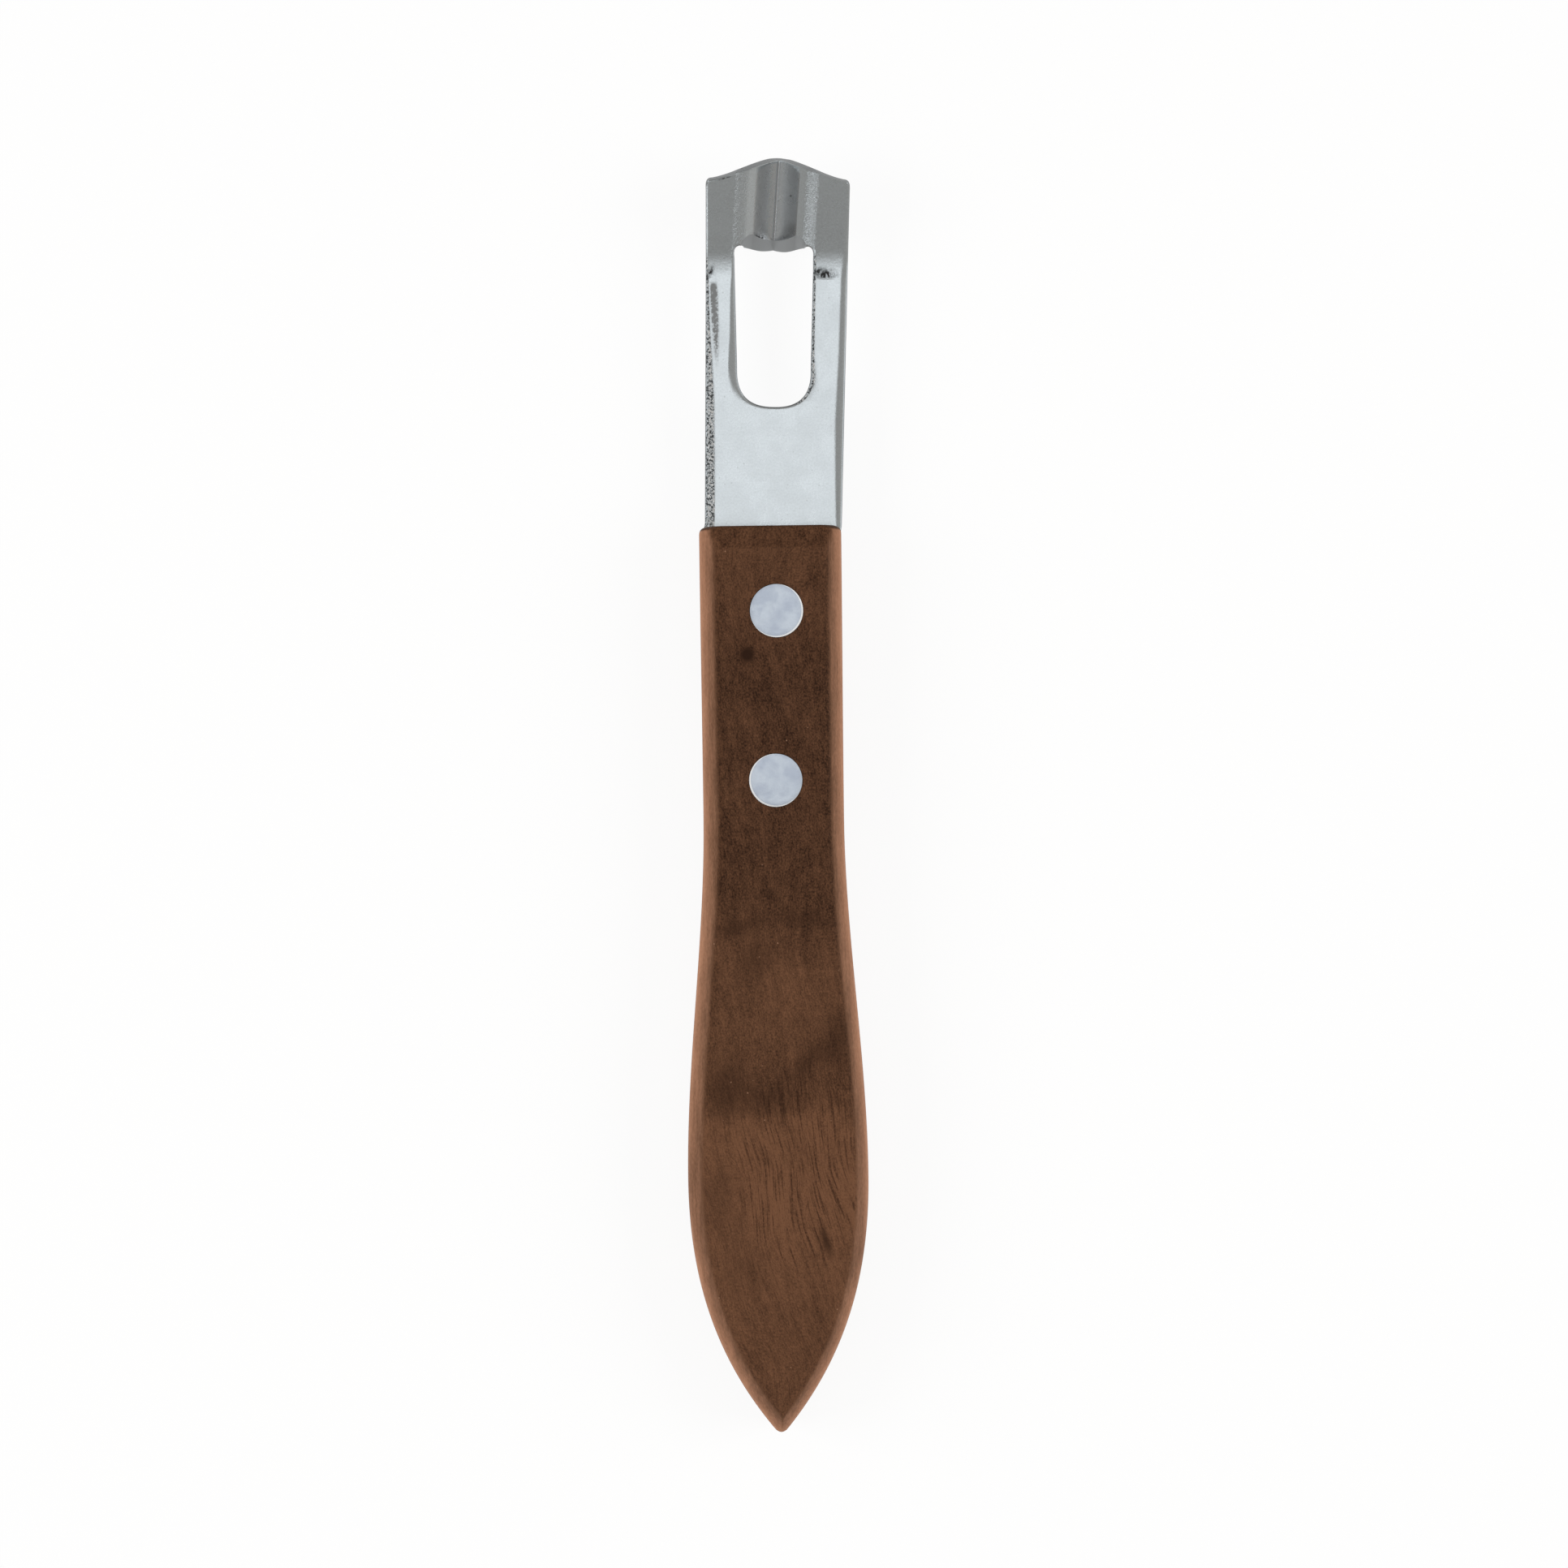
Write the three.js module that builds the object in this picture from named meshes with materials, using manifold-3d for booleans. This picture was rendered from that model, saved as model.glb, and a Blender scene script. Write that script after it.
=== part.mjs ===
// Channel knife: a pressed steel cutter with a peel window and a V-shaped cutting channel,
// held in a sawn slot in a one-piece walnut handle by two cutler's rivets.
// Millimetres. The knife lies on the back face of its handle: +Z is up, +Y runs towards the cutter's end
// and +X to the right. The origin is under the middle of the knife, on the surface that it lies on.
import * as THREE from "three";
import { mergeVertices } from "three/addons/utils/BufferGeometryUtils.js";
import Module from "manifold-3d";

// Handle, measured back from its front end.
const HANDLE_LENGTH = 111.4;
const HANDLE_THICKNESS = 12;
const FRONT_WIDTH = 17.5;
const FRONT_CORNER_RADIUS = 1;
const WAIST_WIDTH = 17.3;
const WAIST_BACK = 36;
const BELLY_WIDTH = 22.2;
const BELLY_BACK = 80;
const TIP_WIDTH = 1;
const TIP_ANGLE = THREE.MathUtils.degToRad(40); // between the tip's flank and the handle's axis
const TIP_CURVE_LENGTH = 12; // how far the belly's curve and the tip's flank run on before they turn
const CHAMFER_WIDTH = 2.1; // seen from above, square to the edge
const CHAMFER_DEPTH = 2.1;
const FRONT_CHAMFER = 2.4; // the front end's chamfer, along the handle
const TIP_CHAMFER_WIDTH = 1.3;
const FACE_RIDGE = 0.1; // half the width of the ridge where the two chamfers meet at the tip

// Blade, measured forward from the handle's front end.
const BLADE_THICKNESS = 1.5;
const BLADE_REACH = 45.6;
const BLADE_ROOT_WIDTH = 16.9;
const BLADE_HEAD_WIDTH = 17.8;
const BLADE_LEAN = THREE.MathUtils.degToRad(1.5); // the blade sits a little askew in its slot
const BLADE_OFFSET = 0.4; // to the right of the handle's axis, at the handle's front end
const HEAD_CORNER_REACH = 42.8;
const HEAD_CORNER_RADIUS = 0.8;
const HEAD_PEAK_RUN = 2; // the peak's curve starts out level for about this far to each side
const HEAD_FLANK_HALF_WIDTH = 4.6; // where each flank starts to climb to the peak
const HEAD_FLANK_RISE = 0.7; // how far it has risen there
const WINDOW_START = 14.8;
const WINDOW_END = 34.5;
const WINDOW_WIDTH = 9.5;
const WINDOW_ROOT_RADIUS = 4.3;
const WINDOW_HEAD_RADIUS = 1;
const EDGE_BULGE = 0.5; // each half of the cutting edge bows out into the window
const BEND_START = 32.2;
const BEND_RADIUS = 5;
const BEND_ANGLE = THREE.MathUtils.degToRad(20);

// V channel pressed down into the head, in line with the window.
const CHANNEL_INSET = 0.15; // its shoulders start this far inside the window's sides
const CHANNEL_WALL_ANGLE = THREE.MathUtils.degToRad(38);
const CHANNEL_SHOULDER_RADIUS = 1.6;
const CHANNEL_ROOT_RADIUS = 0.5;
const EDGE_THICKNESS = 0.2; // metal left at the ground edge
const GRIND_LENGTH = 2.1; // along the channel, from the edge
const GRIND_RADIUS = 3.2; // of the round stone that hollows each half of the edge
const GRIND_OVERRUN = 0.7; // how far the stone runs out past the edge

// Tang, measured back from the handle's front end, and the slot that it sits in.
const TANG_LENGTH = 44;
const TANG_END_RADIUS = 3;
const TANG_RECESS = 0.2; // its edges end this far inside the handle's sides
const SLOT_CLEARANCE = 0.1; // above and below the tang
const SLOT_END_GAP = 0.5;

// Cutler's rivets: a studded half pressed into a sleeved half, with both heads flush in the wood.
const FRONT_RIVET_BACK = 10.5; // behind the handle's front end
const FRONT_RIVET_OFFSET = 0.67; // to the right of the handle's axis
const REAR_RIVET_BACK = 31.3;
const REAR_RIVET_OFFSET = 0.31;
const RIVET_HEAD_DIAMETER = 6.6;
const RIVET_HEAD_THICKNESS = 1.2;
const RIVET_HEAD_EDGE = 0.15; // chamfer round the head's face
const RIVET_SLEEVE_DIAMETER = 4.6;
const RIVET_STUD_DIAMETER = 3.2;
const RIVET_SINK = 0.04; // below the handle's faces
const RIVET_CLEARANCE = 0.06; // between a rivet and its hole, and between its two halves
const SLEEVE_END_GAP = 0.5; // between the sleeve's end and the stud's head
const STUD_END_GAP = 0.6; // between the stud's end and the bottom of the sleeve

// How finely the round shapes are faceted.
const ROUND_SIDES = 32;
const CURVE_STEPS = 10;
const BEND_STEPS = 6;
const PRESS_STEPS = 5;
const GRIND_SIDES = 64;

// What follows from these sizes.
const FRONT_Y = (HANDLE_LENGTH - BLADE_REACH) / 2; // the knife's length is centred on the origin
const MIDDLE_Z = HANDLE_THICKNESS / 2;
const CHANNEL_HALF_WIDTH = WINDOW_WIDTH / 2 - CHANNEL_INSET;
const RIVETS = [
  { name: "front_rivet", back: FRONT_RIVET_BACK, offset: FRONT_RIVET_OFFSET },
  { name: "rear_rivet", back: REAR_RIVET_BACK, offset: REAR_RIVET_OFFSET },
];

const steel = new THREE.MeshStandardMaterial({ color: 0xc9ced2, metalness: 1, roughness: 0.28 });
const rivetSteel = new THREE.MeshStandardMaterial({ color: 0xc4cad2, metalness: 1, roughness: 0.4 });
const walnut = new THREE.MeshStandardMaterial({ color: 0x5a3e2d, metalness: 0, roughness: 0.6 });

const wasm = await Module();
wasm.setup();

// A closed geometry as a solid that can be joined and cut.
function solidFrom(geometry) {
  const bare = geometry.clone();
  bare.deleteAttribute("normal");
  bare.deleteAttribute("uv");
  const merged = mergeVertices(bare, 1e-5);
  return new wasm.Manifold(
    new wasm.Mesh({
      numProp: 3,
      vertProperties: merged.attributes.position.array,
      triVerts: new Uint32Array(merged.index.array),
    }),
  );
}

// A solid as a geometry for a mesh.
function geometryFrom(solid) {
  const mesh = solid.getMesh();
  const geometry = new THREE.BufferGeometry();
  geometry.setAttribute("position", new THREE.BufferAttribute(mesh.vertProperties, 3));
  geometry.setIndex(new THREE.BufferAttribute(mesh.triVerts, 1));
  return geometry;
}

function namedMesh(name, geometry, material) {
  const mesh = new THREE.Mesh(geometry, material);
  mesh.name = name;
  return mesh;
}

// An outline in the plan, extruded up and down from the middle plane.
function prism(shape, height) {
  const geometry = new THREE.ExtrudeGeometry(shape, {
    depth: height,
    bevelEnabled: false,
    curveSegments: CURVE_STEPS,
  });
  return geometry.translate(0, 0, -height / 2);
}

// A round bar that stands along Z, from one height to another.
function bar(radius, low, high) {
  const geometry = new THREE.CylinderGeometry(radius, radius, high - low, ROUND_SIDES);
  return geometry.rotateX(Math.PI / 2).translate(0, 0, (low + high) / 2);
}

// The handle's half width, as curves of (distance back, half width) from the front end to the tip.
function handleOutline() {
  const point = (back, halfWidth) => new THREE.Vector2(back, halfWidth);
  const third = (BELLY_BACK - WAIST_BACK) / 3;
  return [
    new THREE.CubicBezierCurve(
      point(0, FRONT_WIDTH / 2),
      point(WAIST_BACK / 3, FRONT_WIDTH / 2),
      point((WAIST_BACK * 2) / 3, WAIST_WIDTH / 2),
      point(WAIST_BACK, WAIST_WIDTH / 2),
    ),
    new THREE.CubicBezierCurve(
      point(WAIST_BACK, WAIST_WIDTH / 2),
      point(WAIST_BACK + third, WAIST_WIDTH / 2),
      point(BELLY_BACK - third, BELLY_WIDTH / 2),
      point(BELLY_BACK, BELLY_WIDTH / 2),
    ),
    new THREE.CubicBezierCurve(
      point(BELLY_BACK, BELLY_WIDTH / 2),
      point(BELLY_BACK + TIP_CURVE_LENGTH, BELLY_WIDTH / 2),
      point(
        HANDLE_LENGTH - TIP_CURVE_LENGTH * Math.cos(TIP_ANGLE),
        TIP_WIDTH / 2 + TIP_CURVE_LENGTH * Math.sin(TIP_ANGLE),
      ),
      point(HANDLE_LENGTH, TIP_WIDTH / 2),
    ),
  ];
}

// The handle's cross-sections from front to tip: how far back, half width, slope of the side
// and chamfer width.
function handleStations() {
  const stations = [];
  const tipTaper = (back) => THREE.MathUtils.smoothstep(back, BELLY_BACK, HANDLE_LENGTH);
  handleOutline().forEach((curve, index) => {
    const steps = CURVE_STEPS * (index + 1);
    for (let i = index === 0 ? 0 : 1; i <= steps; i += 1) {
      const { x: back, y: halfWidth } = curve.getPoint(i / steps);
      const tangent = curve.getTangent(i / steps);
      const chamfer = THREE.MathUtils.lerp(CHAMFER_WIDTH, TIP_CHAMFER_WIDTH, tipTaper(back));
      stations.push({ back, halfWidth, slope: tangent.x, chamfer });
    }
  });
  return stations;
}

// Extra stations that round the front corners and run the front chamfer up to the face.
function frontStations(first) {
  const stations = [];
  for (let i = 0; i < PRESS_STEPS; i += 1) {
    const turn = (i / PRESS_STEPS) * (Math.PI / 2);
    stations.push({
      ...first,
      back: FRONT_CORNER_RADIUS * (1 - Math.cos(turn)),
      halfWidth: first.halfWidth - FRONT_CORNER_RADIUS * (1 - Math.sin(turn)),
    });
  }
  stations.push({ ...first, back: FRONT_CORNER_RADIUS });
  stations.push({ ...first, back: FRONT_CHAMFER });
  return stations;
}

// One eight-sided cross-section: flat faces, flat sides and a chamfer along each corner.
function handleSection({ back, halfWidth, slope, chamfer }) {
  const reach = chamfer / slope;
  const frontRise = Math.max(back / FRONT_CHAMFER, FACE_RIDGE / CHAMFER_DEPTH);
  const rise = Math.min(1, frontRise, (halfWidth - FACE_RIDGE) / reach);
  const faceHalf = halfWidth - reach * rise;
  const sideTop = HANDLE_THICKNESS / 2 - CHAMFER_DEPTH;
  const faceTop = sideTop + CHAMFER_DEPTH * rise;
  const corners = [
    [halfWidth, -sideTop],
    [halfWidth, sideTop],
    [faceHalf, faceTop],
    [-faceHalf, faceTop],
    [-halfWidth, sideTop],
    [-halfWidth, -sideTop],
    [-faceHalf, -faceTop],
    [faceHalf, -faceTop],
  ];
  return corners.map(([x, z]) => new THREE.Vector3(x, -back, z));
}

// A closed body through cross-sections that all have the same number of corners.
function loft(sections) {
  const count = sections[0].length;
  const index = [];
  for (let ring = 0; ring < sections.length - 1; ring += 1) {
    for (let i = 0; i < count; i += 1) {
      const next = (i + 1) % count;
      const [a, b] = [ring * count + i, ring * count + next];
      const [c, d] = [a + count, b + count];
      index.push(a, b, d, a, d, c);
    }
  }
  const last = (sections.length - 1) * count;
  for (let i = 1; i < count - 1; i += 1) {
    index.push(0, i + 1, i);
    index.push(last, last + i, last + i + 1);
  }
  const geometry = new THREE.BufferGeometry().setFromPoints(sections.flat());
  geometry.setIndex(index);
  return geometry;
}

function handleSolid() {
  const along = handleStations();
  const past = along.filter((station) => station.back > FRONT_CHAMFER + SLOT_CLEARANCE);
  const sections = [...frontStations(along[0]), ...past].map(handleSection);
  let body = solidFrom(loft(sections));

  const slotLength = TANG_LENGTH + SLOT_END_GAP;
  const slotHeight = BLADE_THICKNESS + 2 * SLOT_CLEARANCE;
  const slot = new THREE.BoxGeometry(BELLY_WIDTH * 2, slotLength * 2, slotHeight);
  body = body.subtract(solidFrom(slot));

  const headRadius = RIVET_HEAD_DIAMETER / 2 + RIVET_CLEARANCE;
  const sleeveRadius = RIVET_SLEEVE_DIAMETER / 2 + RIVET_CLEARANCE;
  const seat = MIDDLE_Z - RIVET_SINK - RIVET_HEAD_THICKNESS - RIVET_CLEARANCE;
  for (const { back, offset } of RIVETS) {
    const holes = [
      bar(sleeveRadius, -HANDLE_THICKNESS, HANDLE_THICKNESS),
      bar(headRadius, seat, HANDLE_THICKNESS),
      bar(headRadius, -HANDLE_THICKNESS, -seat),
    ];
    for (const hole of holes) body = body.subtract(solidFrom(hole.translate(offset, -back, 0)));
  }
  return body;
}

// The blade's half width at a distance forward of the handle's front end.
function bladeHalfWidth(forward) {
  const share = forward / BLADE_REACH;
  return THREE.MathUtils.lerp(BLADE_ROOT_WIDTH, BLADE_HEAD_WIDTH, share) / 2;
}

// The blade's outline from above: tang, tapered shank and peaked head.
function bladeOutline() {
  const headHalf = bladeHalfWidth(HEAD_CORNER_REACH);
  const rootHalf = BLADE_ROOT_WIDTH / 2;
  const endHalf = BELLY_WIDTH / 2;
  const halfPoints = (side) => ({
    peakHandle: [side * HEAD_PEAK_RUN, BLADE_REACH],
    flankHandle: [side * HEAD_FLANK_HALF_WIDTH, HEAD_CORNER_REACH + HEAD_FLANK_RISE],
    flank: [side * (headHalf - HEAD_CORNER_RADIUS), HEAD_CORNER_REACH],
    corner: [side * headHalf, HEAD_CORNER_REACH],
    edge: [side * headHalf, HEAD_CORNER_REACH - HEAD_CORNER_RADIUS],
    root: [side * rootHalf, 0],
    tang: [side * endHalf, -TANG_LENGTH + TANG_END_RADIUS],
    tangCorner: [side * endHalf, -TANG_LENGTH],
    tangEnd: [side * (endHalf - TANG_END_RADIUS), -TANG_LENGTH],
  });
  const right = halfPoints(1);
  const left = halfPoints(-1);
  const shape = new THREE.Shape();
  shape.moveTo(0, BLADE_REACH);
  shape.bezierCurveTo(...left.peakHandle, ...left.flankHandle, ...left.flank);
  shape.quadraticCurveTo(...left.corner, ...left.edge);
  shape.lineTo(...left.root);
  shape.lineTo(...left.tang);
  shape.quadraticCurveTo(...left.tangCorner, ...left.tangEnd);
  shape.lineTo(...right.tangEnd);
  shape.quadraticCurveTo(...right.tangCorner, ...right.tang);
  shape.lineTo(...right.root);
  shape.lineTo(...right.edge);
  shape.quadraticCurveTo(...right.corner, ...right.flank);
  shape.bezierCurveTo(...right.flankHandle, ...right.peakHandle, 0, BLADE_REACH);
  return shape;
}

// The peel window from above. Its front end is the cutting edge, two bowed halves with a notch
// between them.
function windowOutline() {
  const half = WINDOW_WIDTH / 2;
  const edgeHalf = half - WINDOW_HEAD_RADIUS;
  const bulge = WINDOW_END - 2 * EDGE_BULGE;
  const shape = new THREE.Shape();
  shape.moveTo(WINDOW_ROOT_RADIUS - half, WINDOW_START);
  shape.lineTo(half - WINDOW_ROOT_RADIUS, WINDOW_START);
  shape.quadraticCurveTo(half, WINDOW_START, half, WINDOW_START + WINDOW_ROOT_RADIUS);
  shape.lineTo(half, WINDOW_END - WINDOW_HEAD_RADIUS);
  shape.quadraticCurveTo(half, WINDOW_END, edgeHalf, WINDOW_END);
  shape.quadraticCurveTo(edgeHalf / 2, bulge, 0, WINDOW_END);
  shape.quadraticCurveTo(-edgeHalf / 2, bulge, -edgeHalf, WINDOW_END);
  shape.quadraticCurveTo(-half, WINDOW_END, -half, WINDOW_END - WINDOW_HEAD_RADIUS);
  shape.lineTo(-half, WINDOW_START + WINDOW_ROOT_RADIUS);
  shape.quadraticCurveTo(-half, WINDOW_START, WINDOW_ROOT_RADIUS - half, WINDOW_START);
  return shape;
}

// How far the sheet's upper face rises where the head bends up towards the user.
function bendRise(forward) {
  const run = forward - BEND_START;
  const arcRun = BEND_RADIUS * Math.sin(BEND_ANGLE);
  if (run <= 0) return 0;
  if (run <= arcRun) return BEND_RADIUS - Math.sqrt(BEND_RADIUS ** 2 - run ** 2);
  return BEND_RADIUS * (1 - Math.cos(BEND_ANGLE)) + (run - arcRun) * Math.tan(BEND_ANGLE);
}

// How steeply the sheet leans there.
function bendTilt(forward) {
  const run = forward - BEND_START;
  return Math.asin(THREE.MathUtils.clamp(run / BEND_RADIUS, 0, Math.sin(BEND_ANGLE)));
}

// How far down the channel presses a face of the sheet that lies this deep below the upper face.
// Round shoulders and a round root are joined by straight walls, and the faces stay the same
// distance apart.
function channelDrop(x, depth) {
  const across = Math.abs(x);
  const corner = CHANNEL_HALF_WIDTH - CHANNEL_SHOULDER_RADIUS * Math.tan(CHANNEL_WALL_ANGLE / 2);
  const wallSlope = Math.tan(CHANNEL_WALL_ANGLE);
  const rootRadius = CHANNEL_ROOT_RADIUS + depth;
  const rootCentre = corner * wallSlope - CHANNEL_ROOT_RADIUS / Math.cos(CHANNEL_WALL_ANGLE);
  if (across <= rootRadius * Math.sin(CHANNEL_WALL_ANGLE)) {
    return rootCentre + Math.sqrt(rootRadius ** 2 - across ** 2);
  }
  const wall = (corner - across) * wallSlope + depth / Math.cos(CHANNEL_WALL_ANGLE);
  const shoulderRadius = CHANNEL_SHOULDER_RADIUS - depth;
  const inward = CHANNEL_HALF_WIDTH - across;
  if (shoulderRadius > 0 && inward > 0 && inward <= shoulderRadius * Math.sin(CHANNEL_WALL_ANGLE)) {
    return CHANNEL_SHOULDER_RADIUS - Math.sqrt(shoulderRadius ** 2 - inward ** 2);
  }
  return Math.max(depth, wall);
}

// Evenly spaced values from one number to another, both included.
function steps(from, to, count) {
  return Array.from({ length: count + 1 }, (_, i) => from + ((to - from) * i) / count);
}

// The lines along the sheet where the press forms its upper and lower faces.
function pressColumns() {
  const turn = Math.sin(CHANNEL_WALL_ANGLE);
  const upperRoot = CHANNEL_ROOT_RADIUS * turn;
  const lowerRoot = (CHANNEL_ROOT_RADIUS + BLADE_THICKNESS) * turn;
  const lowerCorner = (BLADE_THICKNESS - CHANNEL_SHOULDER_RADIUS) * Math.tan(CHANNEL_WALL_ANGLE / 2);
  const half = [
    ...steps(0, upperRoot, PRESS_STEPS),
    ...steps(upperRoot, lowerRoot, PRESS_STEPS).slice(1),
    ...steps(CHANNEL_HALF_WIDTH - CHANNEL_SHOULDER_RADIUS * turn, CHANNEL_HALF_WIDTH, PRESS_STEPS),
    CHANNEL_HALF_WIDTH + lowerCorner,
    BLADE_HEAD_WIDTH,
  ].sort((a, b) => a - b);
  return [...half.slice(1).reverse().map((x) => -x), ...half];
}

// The lines across it.
function pressRows() {
  const arcRun = BEND_RADIUS * Math.sin(BEND_ANGLE);
  return [-TANG_LENGTH * 2, ...steps(BEND_START, BEND_START + arcRun, BEND_STEPS), BLADE_REACH * 2];
}

// The height of one face of the pressed sheet above the middle plane of the tang.
function sheetHeight(x, forward, depth) {
  const inHead = forward > BEND_START + (BEND_RADIUS * Math.sin(BEND_ANGLE)) / 2;
  const drop = inHead ? channelDrop(x, depth) : depth;
  return BLADE_THICKNESS / 2 + bendRise(forward) - drop / Math.cos(bendTilt(forward));
}

// The steel sheet after pressing: a subdivided plate whose upper and lower faces follow the bend
// and the channel.
function pressedSheet() {
  const columns = pressColumns();
  const rows = pressRows();
  const sheet = new THREE.BoxGeometry(2, 2, 2, columns.length - 1, rows.length - 1, 1);
  const position = sheet.attributes.position;
  for (let i = 0; i < position.count; i += 1) {
    const x = columns[Math.round(((position.getX(i) + 1) / 2) * (columns.length - 1))];
    const y = rows[Math.round(((position.getY(i) + 1) / 2) * (rows.length - 1))];
    const depth = position.getZ(i) < 0 ? BLADE_THICKNESS : 0;
    position.setXYZ(i, x, y, sheetHeight(x, y, depth));
  }
  return solidFrom(sheet);
}

// The round stone that grinds one wall of the channel down to its cutting edge. Its lowest line runs
// down through the wall, from the wall's inner face to just short of its outer face at the edge.
function grindingStone(side) {
  const middle = CHANNEL_HALF_WIDTH / 2;
  const along = new THREE.Vector3(0, Math.cos(BEND_ANGLE), Math.sin(BEND_ANGLE));
  const upright = new THREE.Vector3(0, -Math.sin(BEND_ANGLE), Math.cos(BEND_ANGLE));
  const normal = upright.multiplyScalar(Math.cos(CHANNEL_WALL_ANGLE));
  normal.x = -side * Math.sin(CHANNEL_WALL_ANGLE);

  const slant = Math.atan2(BLADE_THICKNESS - EDGE_THICKNESS, GRIND_LENGTH);
  const axis = along.clone().multiplyScalar(Math.cos(slant)).addScaledVector(normal, Math.sin(slant));
  const lift = normal.clone().multiplyScalar(Math.cos(slant)).addScaledVector(along, -Math.sin(slant));
  const edge = WINDOW_END - EDGE_BULGE;
  const start = new THREE.Vector3(side * middle, edge, sheetHeight(middle, edge, 0));
  const centre = start.addScaledVector(along, GRIND_LENGTH).addScaledVector(lift, GRIND_RADIUS);
  const overrun = GRIND_LENGTH / Math.cos(slant) + GRIND_OVERRUN;
  const length = overrun + GRIND_RADIUS * 2;
  centre.addScaledVector(axis, length / 2 - overrun);

  const stone = new THREE.CylinderGeometry(GRIND_RADIUS, GRIND_RADIUS, length, GRIND_SIDES);
  const turn = new THREE.Quaternion().setFromUnitVectors(new THREE.Vector3(0, 1, 0), axis);
  return solidFrom(stone.applyQuaternion(turn).translate(centre.x, centre.y, centre.z));
}

// What is left of the tang when its edges are ground back with the handle's sides,
// in the handle's frame.
function tangLimit(height) {
  const inWood = handleStations().filter(({ back }) => back < BELLY_BACK);
  const side = inWood.map(({ back, halfWidth }) => new THREE.Vector2(halfWidth - TANG_RECESS, -back));
  const front = new THREE.Vector2(BELLY_WIDTH, 0);
  const ahead = new THREE.Vector2(BELLY_WIDTH, BLADE_REACH * 2);
  const right = [ahead, front, ...side];
  const left = right.map(({ x, y }) => new THREE.Vector2(-x, y)).reverse();
  return prism(new THREE.Shape([...right, ...left].reverse()), height);
}

// The blade in its own frame: the origin is on its middle plane, where it leaves the wood.
function bladeSolid(toBlade) {
  const tall = HANDLE_THICKNESS * 4;
  let blade = pressedSheet().intersect(solidFrom(prism(bladeOutline(), tall)));
  blade = blade.intersect(solidFrom(tangLimit(tall).applyMatrix4(toBlade)));
  blade = blade.subtract(solidFrom(prism(windowOutline(), tall)));
  for (const side of [-1, 1]) blade = blade.subtract(grindingStone(side));
  for (const { back, offset } of RIVETS) {
    const centre = new THREE.Vector3(offset, -back, 0).applyMatrix4(toBlade);
    const hole = bar(RIVET_SLEEVE_DIAMETER / 2 + RIVET_CLEARANCE, -tall, tall);
    blade = blade.subtract(solidFrom(hole.translate(centre.x, centre.y, 0)));
  }
  return blade;
}

// A turned piece that stands on its axis, from its (radius, height) outline.
function turned(outline) {
  const points = outline.map(([radius, height]) => new THREE.Vector2(radius, height));
  return new THREE.LatheGeometry(points, ROUND_SIDES).rotateX(Math.PI / 2);
}

// The half with the solid stud, its head up in the front face. Heights are from the handle's
// middle plane.
function rivetStud() {
  const top = MIDDLE_Z - RIVET_SINK;
  const seat = top - RIVET_HEAD_THICKNESS;
  const sleeveFloor = -top + RIVET_HEAD_THICKNESS;
  const head = RIVET_HEAD_DIAMETER / 2;
  const stud = RIVET_STUD_DIAMETER / 2;
  return turned([
    [0, sleeveFloor + STUD_END_GAP],
    [stud, sleeveFloor + STUD_END_GAP],
    [stud, seat],
    [head, seat],
    [head, top - RIVET_HEAD_EDGE],
    [head - RIVET_HEAD_EDGE, top],
    [0, top],
  ]);
}

// The half with the sleeve, its head down in the back face.
function rivetSleeve() {
  const bottom = RIVET_SINK - MIDDLE_Z;
  const floor = bottom + RIVET_HEAD_THICKNESS;
  const studSeat = MIDDLE_Z - RIVET_SINK - RIVET_HEAD_THICKNESS;
  const rim = studSeat - SLEEVE_END_GAP;
  const head = RIVET_HEAD_DIAMETER / 2;
  const outside = RIVET_SLEEVE_DIAMETER / 2;
  const bore = RIVET_STUD_DIAMETER / 2 + RIVET_CLEARANCE;
  return turned([
    [0, bottom],
    [head - RIVET_HEAD_EDGE, bottom],
    [head, bottom + RIVET_HEAD_EDGE],
    [head, floor],
    [outside, floor],
    [outside, rim],
    [bore, rim],
    [bore, floor],
    [0, floor],
  ]);
}

// The blade's place in the handle's frame, whose origin is the front end of the handle on its
// middle plane.
const bladePlace = new THREE.Group();
bladePlace.position.set(BLADE_OFFSET, 0, 0);
bladePlace.rotation.z = -BLADE_LEAN;
bladePlace.updateMatrix();
const handleToBlade = bladePlace.matrix.clone().invert();
bladePlace.add(namedMesh("blade", geometryFrom(bladeSolid(handleToBlade)), steel));

const knife = new THREE.Group();
const handleFrame = new THREE.Group();
handleFrame.position.set(0, FRONT_Y, MIDDLE_Z);
handleFrame.add(namedMesh("handle", geometryFrom(handleSolid()), walnut), bladePlace);
for (const { name, back, offset } of RIVETS) {
  const rivet = new THREE.Group();
  rivet.position.set(offset, -back, 0);
  rivet.add(namedMesh(`${name}_stud`, rivetStud(), rivetSteel));
  rivet.add(namedMesh(`${name}_sleeve`, rivetSleeve(), rivetSteel));
  handleFrame.add(rivet);
}
knife.add(handleFrame);

export default knife;
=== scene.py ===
"""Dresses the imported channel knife: pressed steel cutter, walnut handle and two cutler's rivets.

Sizes are in millimetres. Each piece is drawn in the frame of the handle, whose origin is the front
end of the wood on its middle plane, and is brought to the knife's own frame in metres when it is
finished. +Y runs towards the cutter's end, +X to the right and +Z out of the handle's front face.
"""

import logging
import math
from dataclasses import dataclass, field
from enum import Enum
from typing import Callable, Optional, Sequence, Union

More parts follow.
